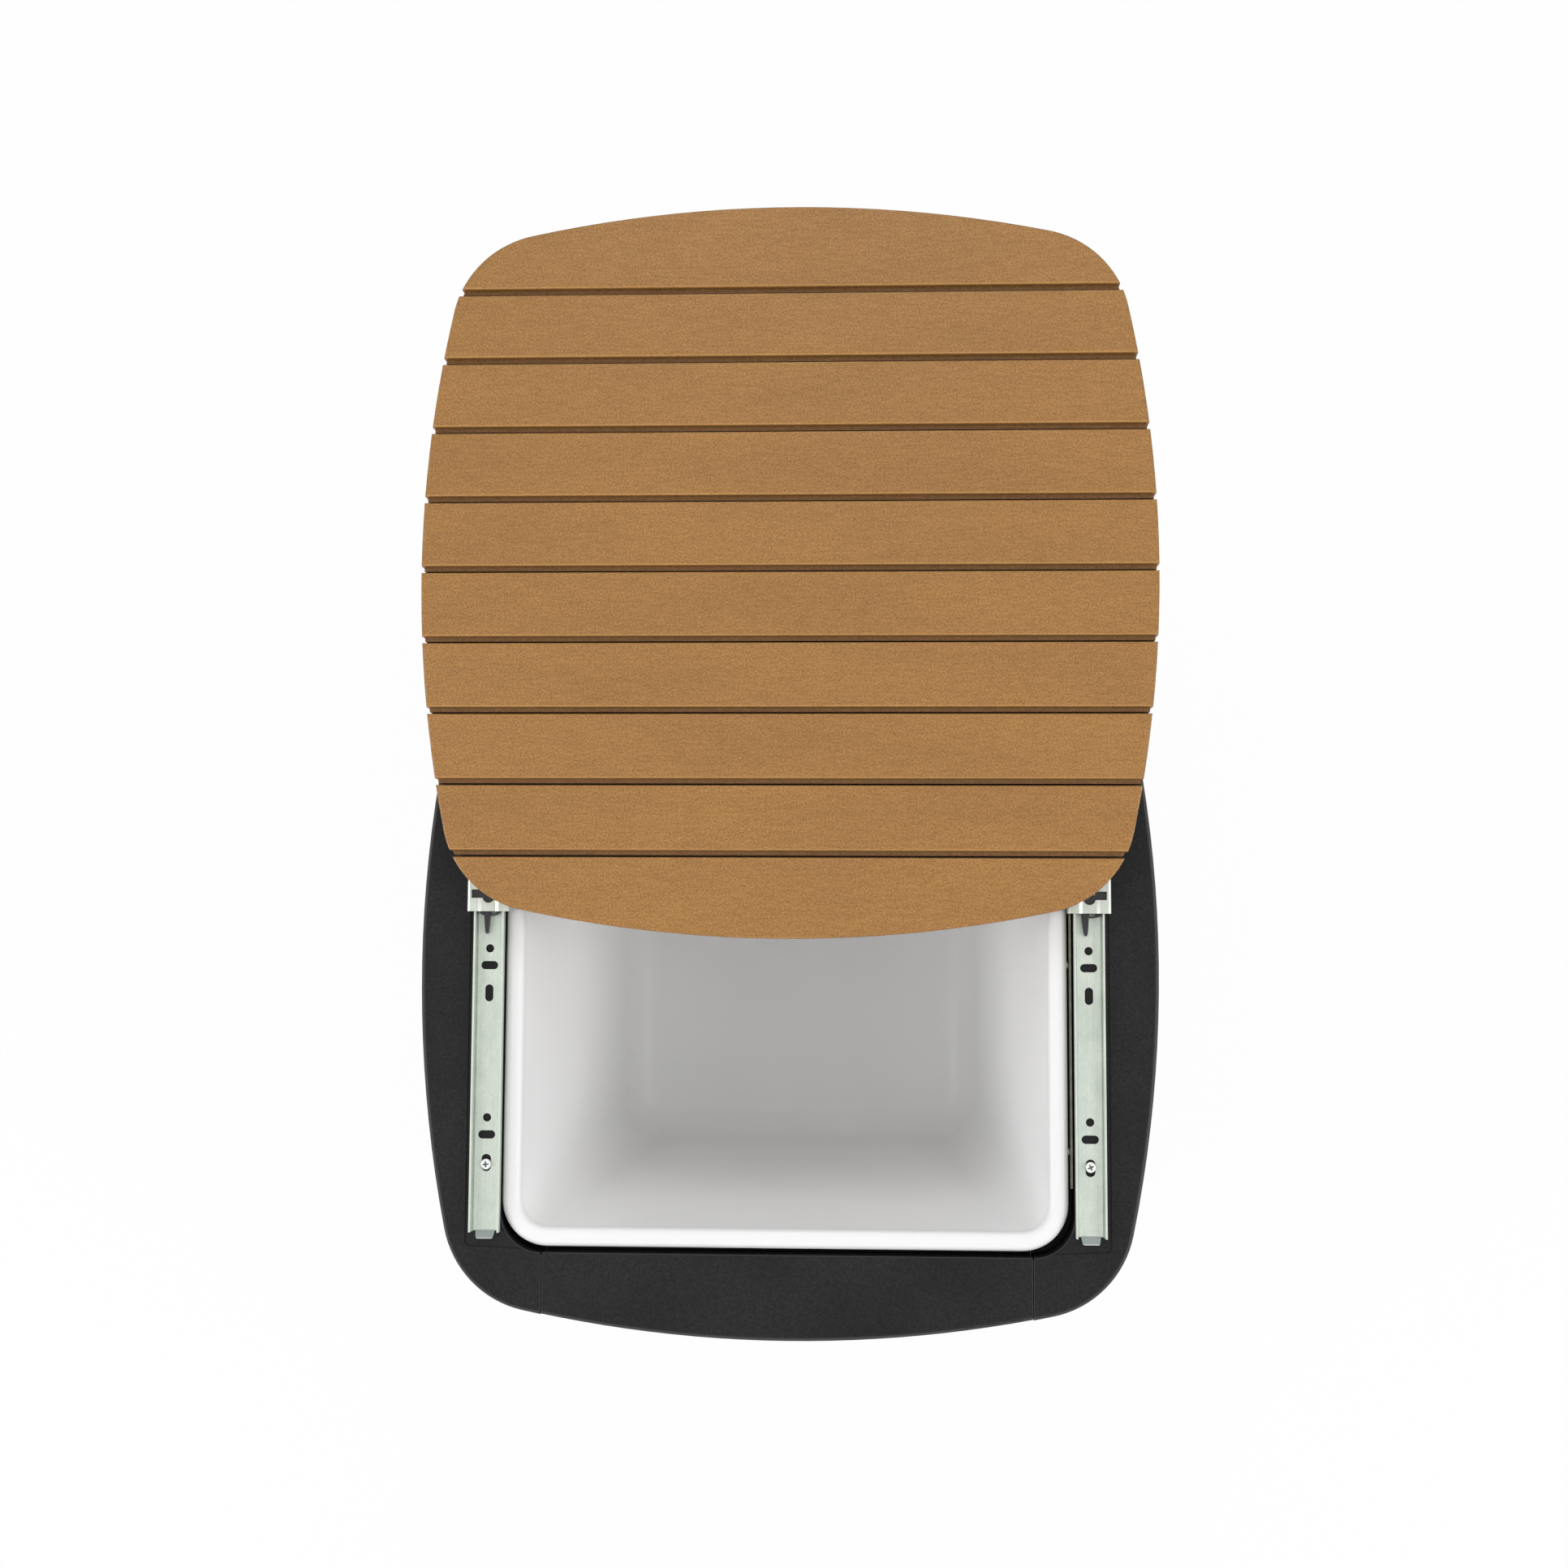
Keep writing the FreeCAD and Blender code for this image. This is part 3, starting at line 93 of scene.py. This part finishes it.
def clearNodes(tree):
    for node in list(tree.nodes):
        tree.nodes.remove(node)


def seenByEye(tree):
    # 1 for rays that reach the eye directly, by reflection or through clear matter
    path = tree.nodes.new("ShaderNodeLightPath")
    seen = path.outputs["Is Camera Ray"]
    for kind in ("Is Glossy Ray", "Is Transmission Ray"):
        either = tree.nodes.new("ShaderNodeMath")
        either.operation = "MAXIMUM"
        tree.links.new(seen, either.inputs[0])
        tree.links.new(path.outputs[kind], either.inputs[1])
        seen = either.outputs[0]
    return seen


def shareShaders(tree, share, first, second, out):
    mix = tree.nodes.new("ShaderNodeMixShader")
    tree.links.new(share, mix.inputs[0])
    tree.links.new(first.outputs[0], mix.inputs[1])
    tree.links.new(second.outputs[0], mix.inputs[2])
    tree.links.new(mix.outputs[0], out.inputs["Surface"])


def lightRoom(level):
    world = bpy.data.worlds.new("paleRoom")
    scene.world = world
    world.use_nodes = True
    tree = world.node_tree
    clearNodes(tree)
    lit = tree.nodes.new("ShaderNodeBackground")
    seen = tree.nodes.new("ShaderNodeBackground")
    for room, strength in ((lit, level), (seen, 1.0)):
        room.inputs["Color"].default_value = (*plainWhite, 1.0)
        room.inputs["Strength"].default_value = strength
    shareShaders(tree, seenByEye(tree), lit, seen, tree.nodes.new("ShaderNodeOutputWorld"))


def addFloor(look):
    mesh = bpy.data.meshes.new("paleFloor")
    work = bmesh.new()
    bmesh.ops.create_circle(work, cap_ends=True, radius=look["radius"], segments=look["corners"])
    work.to_mesh(mesh)
    work.free()
    floor = bpy.data.objects.new("paleFloor", mesh)
    scene.collection.objects.link(floor)
    material = bpy.data.materials.new("paleFloor")
    material.use_nodes = True
    tree = material.node_tree
    clearNodes(tree)
    matt = tree.nodes.new("ShaderNodeBsdfDiffuse")
    matt.inputs["Color"].default_value = (*look["matt"], 1.0)
    glow = tree.nodes.new("ShaderNodeEmission")
    glow.inputs["Color"].default_value = (*plainWhite, 1.0)
    glow.inputs["Strength"].default_value = 1.0
    share = tree.nodes.new("ShaderNodeMath")
    share.operation = "MULTIPLY"
    share.inputs[1].default_value = look["glowShare"]
    tree.links.new(seenByEye(tree), share.inputs[0])
    shareShaders(tree, share.outputs[0], matt, glow, tree.nodes.new("ShaderNodeOutputMaterial"))
    mesh.materials.append(material)


sideX, sideY, sideZ = lighting["sidePlace"]
aim = lighting["aim"]
addSoftLamp("leftLamp", (-sideX, sideY, sideZ), lighting["sideSize"], lighting["sidePower"], aim)
addSoftLamp("rightLamp", (sideX, sideY, sideZ), lighting["sideSize"], lighting["sidePower"], aim)
addSoftLamp("frontLamp", lighting["frontPlace"], lighting["frontSize"], lighting["frontPower"], aim)
addSoftLamp("backLamp", lighting["backPlace"], lighting["backSize"], lighting["backPower"], aim)
lightRoom(lighting["roomLevel"])
addFloor(floorLook)
scene.view_settings.view_transform = "Standard"
print("lamps, room and floor placed")

# Between these values of a noise, roughness and most of the metals' tones run from end to end
noiseSpan = (0.3, 0.7)


def startMaterial(name):
    material = bpy.data.materials.new(name)
    material.use_nodes = True
    tree = material.node_tree
    clearNodes(tree)
    surface = tree.nodes.new("ShaderNodeBsdfPrincipled")
    out = tree.nodes.new("ShaderNodeOutputMaterial")
    tree.links.new(surface.outputs[0], out.inputs["Surface"])
    return material, tree, surface


def placedNoise(tree, stretch, detail=3.0, roughness=0.55, offset=(0.0, 0.0, 0.0)):
    # Noise whose cells are 1/stretch metres along each axis
    where = tree.nodes.new("ShaderNodeTexCoord")
    mapping = tree.nodes.new("ShaderNodeMapping")
    mapping.inputs["Scale"].default_value = stretch
    mapping.inputs["Location"].default_value = offset
    noise = tree.nodes.new("ShaderNodeTexNoise")
    noise.inputs["Scale"].default_value = 1.0
    noise.inputs["Detail"].default_value = detail
    noise.inputs["Roughness"].default_value = roughness
    tree.links.new(where.outputs["Object"], mapping.inputs["Vector"])
    tree.links.new(mapping.outputs["Vector"], noise.inputs["Vector"])
    return noise.outputs[0]


def placeAlong(tree, axis):
    # Where the surface lies along one axis, in metres
    where = tree.nodes.new("ShaderNodeTexCoord")
    parts = tree.nodes.new("ShaderNodeSeparateXYZ")
    tree.links.new(where.outputs["Object"], parts.inputs[0])
    return parts.outputs[axis]


def facings(tree):
    # The surface's own normal, part by part
    shape = tree.nodes.new("ShaderNodeNewGeometry")
    parts = tree.nodes.new("ShaderNodeSeparateXYZ")
    tree.links.new(shape.outputs["True Normal"], parts.inputs[0])
    return parts.outputs


def withoutSign(tree, part):
    size = tree.nodes.new("ShaderNodeMath")
    size.operation = "ABSOLUTE"
    tree.links.new(part, size.inputs[0])
    return size.outputs[0]


def colourRamp(tree, value, places, colours):
    ramp = tree.nodes.new("ShaderNodeValToRGB")
    elements = ramp.color_ramp.elements
    while len(elements) < len(places):
        elements.new(0.5)
    for element, place, colour in zip(elements, places, colours):
        element.position = place
        element.color = (*colour, 1.0)
    tree.links.new(value, ramp.inputs[0])
    return ramp.outputs[0]


def greyRamp(tree, value, places, levels):
    return colourRamp(tree, value, places, [(level,) * 3 for level in levels])


def remapped(tree, value, fromLow, fromHigh, toLow, toHigh):
    node = tree.nodes.new("ShaderNodeMapRange")
    node.inputs["From Min"].default_value = fromLow
    node.inputs["From Max"].default_value = fromHigh
    node.inputs["To Min"].default_value = toLow
    node.inputs["To Max"].default_value = toHigh
    tree.links.new(value, node.inputs["Value"])
    return node.outputs[0]


def mixedColour(tree, first, second, share, kind="MIX"):
    # first, second and share are each a socket or a fixed value
    node = tree.nodes.new("ShaderNodeMix")
    node.data_type = "RGBA"
    node.blend_type = kind
    for socket, given in ((node.inputs[0], share), (node.inputs[6], first), (node.inputs[7], second)):
        if isinstance(given, bpy.types.NodeSocket):
            tree.links.new(given, socket)
        elif isinstance(given, float):
            socket.default_value = given
        else:
            socket.default_value = (*given, 1.0)
    return node.outputs[2]


def multiplied(tree, first, second):
    return mixedColour(tree, first, second, 1.0, "MULTIPLY")


def darkInRecesses(tree, colour, reach, openness, darkest, ownShapeOnly=False):
    # Painted shade: darkens a colour where the surface is closed in within reach metres, down to
    # darkest
    hollow = tree.nodes.new("ShaderNodeAmbientOcclusion")
    hollow.samples = 8
    hollow.only_local = ownShapeOnly
    hollow.inputs["Distance"].default_value = reach
    shade = colourRamp(tree, hollow.outputs["AO"], openness, (darkest, plainWhite))
    return multiplied(tree, colour, shade)


def setRoughness(tree, surface, value, fromRough, toRough):
    rough = remapped(tree, value, *noiseSpan, fromRough, toRough)
    tree.links.new(rough, surface.inputs["Roughness"])


def addBump(tree, surface, height, strength, distance):
    bump = tree.nodes.new("ShaderNodeBump")
    bump.inputs["Strength"].default_value = strength
    bump.inputs["Distance"].default_value = distance
    tree.links.new(height, bump.inputs["Height"])
    tree.links.new(bump.outputs[0], surface.inputs["Normal"])


# Boards of the top: wood-look plastic, brushed lengthwise
boardLook = {
    "streakSpan": (0.36, 0.50, 0.64),
    "streaks": ((0.342, 0.165, 0.0415), (0.370, 0.180, 0.0465), (0.398, 0.197, 0.0530)),
    "streakCells": (110.0, 750.0, 750.0),
    "dotSpan": (0.36, 0.64),
    "dots": ((0.60, 0.58, 0.56), (1.12, 1.13, 1.135)),
    "dotCells": (900.0, 1100.0, 1100.0),
    "patchSpan": (0.35, 0.65),
    "patches": ((0.95, 0.945, 0.94), (1.03, 1.03, 1.025)),
    "patchCells": (7.0, 26.0, 9.0),
    # Painted highlight on the front arris of each board
    "arris": (0.70, 0.38, 0.13),
    "arrisShare": 0.32,
    # Painted shade on the laps between the boards and in the grooves
    "lapLevels": (0.4466, 0.4488),
    "lapShade": (0.80, 0.768, 0.736),
    "grooveReach": 0.0045,
    "grooveOpenness": (0.12, 0.76),
    "grooveShade": (0.12, 0.075, 0.03),
    "roughness": (0.36, 0.52),
    "specular": 0.45,
    "grainBump": 0.25,
    "grainDepth": 0.0002,
}


def arrisShare(tree, most):
    # Share of a painted highlight: grows to most on the rounded front arris along a board, where level
    # turns to upright
    facing = facings(tree)
    turning = greyRamp(tree, facing["Z"], (0.35, 0.60, 0.93, 0.985), (0.0, most, most, 0.0))
    forward = remapped(tree, facing["Y"], 0.1, 0.3, 1.0, 0.0)
    straight = greyRamp(tree, withoutSign(tree, facing["X"]), (0.005, 0.02), (1.0, 0.0))
    return multiplied(tree, multiplied(tree, turning, forward), straight)


def onLapsOnly(tree, levels, shade):
    # White on a board's face, falling to a painted shade on the level laps between the boards
    deep = remapped(tree, placeAlong(tree, "Z"), *levels, 1.0, 0.0)
    level = remapped(tree, facings(tree)["Z"], 0.7, 0.9, 0.0, 1.0)
    return mixedColour(tree, plainWhite, shade, multiplied(tree, deep, level))


def makeBoardMaterial(look):
    material, tree, surface = startMaterial("brushedBoard")
    brush = placedNoise(tree, look["streakCells"], roughness=0.60)
    speckle = placedNoise(tree, look["dotCells"], 2.0, 0.75, offset=(3.1, 0.7, 1.9))
    patch = placedNoise(tree, look["patchCells"], roughness=0.5, offset=(5.0, 2.0, 8.0))
    streaks = colourRamp(tree, brush, look["streakSpan"], look["streaks"])
    dots = colourRamp(tree, speckle, look["dotSpan"], look["dots"])
    tone = colourRamp(tree, patch, look["patchSpan"], look["patches"])
    colour = multiplied(tree, multiplied(tree, streaks, dots), tone)
    # Painted highlight on the boards' front arrises
    colour = mixedColour(tree, colour, look["arris"], arrisShare(tree, look["arrisShare"]))
    # Painted shade on the laps between the boards
    colour = multiplied(tree, colour, onLapsOnly(tree, look["lapLevels"], look["lapShade"]))
    # Painted shade in the grooves between the boards
    colour = darkInRecesses(tree, colour, look["grooveReach"], look["grooveOpenness"],
                            look["grooveShade"])
    tree.links.new(colour, surface.inputs["Base Color"])
    low, high = look["roughness"]
    setRoughness(tree, surface, brush, high, low)
    surface.inputs["Specular IOR Level"].default_value = look["specular"]
    addBump(tree, surface, speckle, look["grainBump"], look["grainDepth"])
    return material


# Base: charcoal black moulded plastic with a fine matt texture
baseLook = {
    "grainSpan": (0.35, 0.65),
    "grain": ((0.0050, 0.0050, 0.0052), (0.0160, 0.0160, 0.0162)),
    "grainCells": (800.0, 800.0, 800.0),
    "cloudSpan": (0.35, 0.65),
    "cloud": (0.78, 1.26),
    "cloudCells": (18.0, 18.0, 18.0),
    # Painted highlight on the rounded edges
    "edge": (0.060, 0.060, 0.060),
    "edgeShare": 0.8,
    "roughness": (0.50, 0.62),
    "specular": 0.18,
    "grainBump": 0.30,
    "grainDepth": 0.0002,
}


def edgeShare(tree, most):
    # Share of a painted highlight: grows to most on rounded edges, where level turns to upright
    return greyRamp(tree, facings(tree)["Z"], (0.30, 0.50, 0.90, 0.98), (0.0, most, most, 0.0))


def makeBaseMaterial(look):
    material, tree, surface = startMaterial("blackMouldedBase")
    grain = placedNoise(tree, look["grainCells"], roughness=0.7)
    cloud = placedNoise(tree, look["cloudCells"], 4.0, 0.6, offset=(1.0, 4.0, 2.0))
    colour = colourRamp(tree, grain, look["grainSpan"], look["grain"])
    colour = multiplied(tree, colour, greyRamp(tree, cloud, look["cloudSpan"], look["cloud"]))
    # Painted highlight on the base's rounded edges
    colour = mixedColour(tree, colour, look["edge"], edgeShare(tree, look["edgeShare"]))
    tree.links.new(colour, surface.inputs["Base Color"])
    setRoughness(tree, surface, cloud, *look["roughness"])
    surface.inputs["Specular IOR Level"].default_value = look["specular"]
    addBump(tree, surface, grain, look["grainBump"], look["grainDepth"])
    return material


# Bin: glossy white moulded plastic
binLook = {
    "cloudSpan": (0.35, 0.65),
    "cloud": ((0.948, 0.949, 0.951), (0.960, 0.960, 0.958)),
    "cloudCells": (11.0, 11.0, 5.0),
    # Painted shade: the rim's white toned down
    "rim": (0.865, 0.865, 0.866),
    "rimFrom": (0.4190, 0.4240),
    "roughness": (0.30, 0.40),
    "specular": 0.45,
    "rippleCells": (60.0, 60.0, 30.0),
    "rippleBump": 0.12,
    "rippleDepth": 0.001,
}


def makeBinMaterial(look):
    material, tree, surface = startMaterial("whiteMouldedBin")
    cloud = placedNoise(tree, look["cloudCells"], roughness=0.5)
    ripple = placedNoise(tree, look["rippleCells"], 2.0, 0.5, offset=(2.0, 6.0, 1.0))
    colour = colourRamp(tree, cloud, look["cloudSpan"], look["cloud"])
    # Painted shade on the rim, above these heights
    onRim = remapped(tree, placeAlong(tree, "Z"), *look["rimFrom"], 0.0, 1.0)
    rimTone = mixedColour(tree, plainWhite, look["rim"], onRim)
    tree.links.new(multiplied(tree, colour, rimTone), surface.inputs["Base Color"])
    setRoughness(tree, surface, cloud, *look["roughness"])
    surface.inputs["Specular IOR Level"].default_value = look["specular"]
    addBump(tree, surface, ripple, look["rippleBump"], look["rippleDepth"])
    return material


# Slides and joint plates: pale zinc plating with faint rolling marks along the strip and cloudy stains
zincLook = {
    "stainSpan": (0.32, 0.66),
    "stains": ((0.545, 0.600, 0.532), (0.655, 0.706, 0.634)),
    "stainCells": (70.0, 45.0, 70.0),
    "rolling": (0.94, 1.04),
    "rollingCells": (1400.0, 30.0, 900.0),
    "flecks": ((0.93, 0.935, 0.925), (1.05, 1.05, 1.05)),
    "fleckCells": (900.0, 700.0, 900.0),
    # Painted highlight on the upper member's bends and the tab's tip
    "bend": (0.95, 0.96, 0.95),
    "bendShare": 0.85,
    "bendFrom": (0.4322, 0.4328),
    # Painted shade in the lower member's corners
    "corner": (0.36, 0.39, 0.385),
    "cornerTo": (0.4270, 0.4274),
    # Painted shade on the back-facing tab
    "tab": (0.20, 0.235, 0.235),
    "tabShare": 0.85,
    # Painted shade in the slide's own recesses
    "recessReach": 0.0022,
    "recessOpenness": (0.40, 0.80),
    "recessShade": (0.42, 0.43, 0.43),
    "metal": 0.40,
    "roughness": (0.36, 0.46),
    "rollingBump": 0.15,
    "rollingDepth": 0.0001,
}


def bendShares(tree, look):
    # Three shares of painted light: a painted highlight on the upper member's bends with the tab's
    # tip, painted shade in the lower member's corners, painted shade on the tab
    facing = facings(tree)
    height = placeAlong(tree, "Z")
    leaning = withoutSign(tree, facing["X"])
    upward = remapped(tree, facing["Z"], 0.4, 0.5, 0.0, 1.0)
    most = look["bendShare"]
    bends = greyRamp(tree, leaning, (0.15, 0.28, 0.55, 0.75), (0.0, most, most, 0.0))
    bends = multiplied(tree, bends, remapped(tree, height, *look["bendFrom"], 0.0, 1.0))
    # Painted highlight on the tab's front-facing tip
    tip = remapped(tree, facing["Y"], -0.6, -0.35, most, 0.0)
    bends = multiplied(tree, mixedColour(tree, bends, tip, 1.0, "ADD"), upward)
    # Painted shade in the lower member's corners
    corners = greyRamp(tree, leaning, (0.06, 0.18, 0.90, 0.97), (0.0, 1.0, 1.0, 0.0))
    corners = multiplied(tree, corners, remapped(tree, height, *look["cornerTo"], 1.0, 0.0))
    # Painted shade on the upward, back-facing tab
    back = remapped(tree, facing["Y"], 0.4, 0.55, 0.0, look["tabShare"])
    return bends, corners, multiplied(tree, back, upward)


def makeZincMaterial(look):
    material, tree, surface = startMaterial("palePlatedSteel")
    rolling = placedNoise(tree, look["rollingCells"], roughness=0.6)
    mottle = placedNoise(tree, look["fleckCells"], roughness=0.65, offset=(1.0, 7.0, 2.0))
    stain = placedNoise(tree, look["stainCells"], 4.0, 0.6, offset=(4.0, 1.0, 3.0))
    colour = colourRamp(tree, stain, look["stainSpan"], look["stains"])
    lines = greyRamp(tree, rolling, noiseSpan, look["rolling"])
    flecks = colourRamp(tree, mottle, noiseSpan, look["flecks"])
    colour = multiplied(tree, multiplied(tree, colour, lines), flecks)
    bends, corners, tab = bendShares(tree, look)
    # Painted highlight on the bends and the tab's tip, then painted shade on the tab
    colour = mixedColour(tree, mixedColour(tree, colour, look["bend"], bends), look["tab"], tab)
    # Painted shade in the lower member's corners
    colour = multiplied(tree, colour, mixedColour(tree, plainWhite, look["corner"], corners))
    # Painted shade in the slide's own recesses
    colour = darkInRecesses(tree, colour, look["recessReach"], look["recessOpenness"],
                            look["recessShade"], ownShapeOnly=True)
    tree.links.new(colour, surface.inputs["Base Color"])
    surface.inputs["Metallic"].default_value = look["metal"]
    low, high = look["roughness"]
    setRoughness(tree, surface, stain, high, low)
    addBump(tree, surface, rolling, look["rollingBump"], look["rollingDepth"])
    return material


# Small steel: screws, rivets, balls, cages and the strip beside the bin
smallSteelLooks = {
    "brightScrewSteel": {
        "stains": ((0.74, 0.76, 0.74), (0.86, 0.88, 0.85)), "metal": 0.6, "roughness": (0.24, 0.36),
    },
    "polishedBallSteel": {
        "stains": ((0.72, 0.72, 0.73), (0.86, 0.86, 0.86)), "metal": 1.0, "roughness": (0.06, 0.14),
    },
    "plainCageSteel": {
        "stains": ((0.42, 0.42, 0.40), (0.60, 0.60, 0.58)), "metal": 1.0, "roughness": (0.35, 0.50),
    },
    "warmStripSteel": {
        "stains": ((0.13, 0.12, 0.10), (0.20, 0.19, 0.16)), "metal": 1.0, "roughness": (0.30, 0.44),
    },
}

# What all the small steel shares
smallSteelFinish = {
    "stainCells": (160.0, 160.0, 160.0),
    "fineCells": (2600.0, 2600.0, 2600.0),
    # Painted shade in the small parts' recesses, such as the screws' cross slots
    "recessReach": 0.0015,
    "recessOpenness": (0.55, 0.92),
    "recessShade": (0.04, 0.05, 0.06),
    "fineBump": 0.08,
    "fineDepth": 0.0001,
}


def makeSmallSteel(name, finish):
    look = smallSteelLooks[name]
    material, tree, surface = startMaterial(name)
    stain = placedNoise(tree, finish["stainCells"], roughness=0.6)
    fine = placedNoise(tree, finish["fineCells"], 2.0, 0.6, offset=(2.0, 2.0, 5.0))
    colour = colourRamp(tree, stain, noiseSpan, look["stains"])
    # Painted shade in the small parts' own recesses
    colour = darkInRecesses(tree, colour, finish["recessReach"], finish["recessOpenness"],
                            finish["recessShade"], ownShapeOnly=True)
    tree.links.new(colour, surface.inputs["Base Color"])
    surface.inputs["Metallic"].default_value = look["metal"]
    low, high = look["roughness"]
    setRoughness(tree, surface, stain, high, low)
    addBump(tree, surface, fine, finish["fineBump"], finish["fineDepth"])
    return material


# Release levers and their housings: smooth black plastic. Glides: dark rubber.
leverLook = {
    "grain": ((0.010, 0.010, 0.011), (0.020, 0.020, 0.021)),
    "grainCells": (700.0, 700.0, 700.0),
    "roughness": (0.22, 0.34),
}
glideLook = {
    "grain": ((0.016, 0.016, 0.016), (0.034, 0.034, 0.033)),
    "grainCells": (900.0, 900.0, 900.0),
    "roughness": (0.70, 0.88),
}
plainPlasticFinish = {
    "grainSpan": (0.35, 0.65),
    "grainBump": 0.15,
    "grainDepth": 0.0002,
}


def makePlainPlastic(name, look, finish):
    material, tree, surface = startMaterial(name)
    grain = placedNoise(tree, look["grainCells"], roughness=0.6)
    colour = colourRamp(tree, grain, finish["grainSpan"], look["grain"])
    tree.links.new(colour, surface.inputs["Base Color"])
    setRoughness(tree, surface, grain, *look["roughness"])
    addBump(tree, surface, grain, finish["grainBump"], finish["grainDepth"])
    return material


# Battens under the top: satin aluminium, drawn lengthwise
battenLook = {
    "drawn": ((0.52, 0.53, 0.54), (0.66, 0.67, 0.68)),
    "drawnCells": (1500.0, 12.0, 1500.0),
    "roughness": (0.34, 0.46),
    "drawnBump": 0.15,
    "drawnDepth": 0.0001,
}


def makeBattenMaterial(look):
    material, tree, surface = startMaterial("satinBatten")
    drawn = placedNoise(tree, look["drawnCells"], roughness=0.6)
    tree.links.new(colourRamp(tree, drawn, noiseSpan, look["drawn"]), surface.inputs["Base Color"])
    surface.inputs["Metallic"].default_value = 1.0
    setRoughness(tree, surface, drawn, *look["roughness"])
    addBump(tree, surface, drawn, look["drawnBump"], look["drawnDepth"])
    return material


materialOfSlot = {
    "wood_look_plastic": makeBoardMaterial(boardLook),
    "black_moulded_plastic": makeBaseMaterial(baseLook),
    "white_moulded_plastic": makeBinMaterial(binLook),
    "zinc_plated_steel": makeZincMaterial(zincLook),
    "cage_steel": makeSmallSteel("plainCageSteel", smallSteelFinish),
    "ball_steel": makeSmallSteel("polishedBallSteel", smallSteelFinish),
    "screw_steel": makeSmallSteel("brightScrewSteel", smallSteelFinish),
    "strip_steel": makeSmallSteel("warmStripSteel", smallSteelFinish),
    "black_lever_plastic": makePlainPlastic("blackLeverPlastic", leverLook, plainPlasticFinish),
    "glide_rubber": makePlainPlastic("darkGlideRubber", glideLook, plainPlasticFinish),
    "batten_aluminium": makeBattenMaterial(battenLook),
}

for name, node in nodes.items():
    for slot in node.material_slots:
        slot.material = materialOfSlot[slotOf[name]]
print("materials on", len(nodes), "nodes")
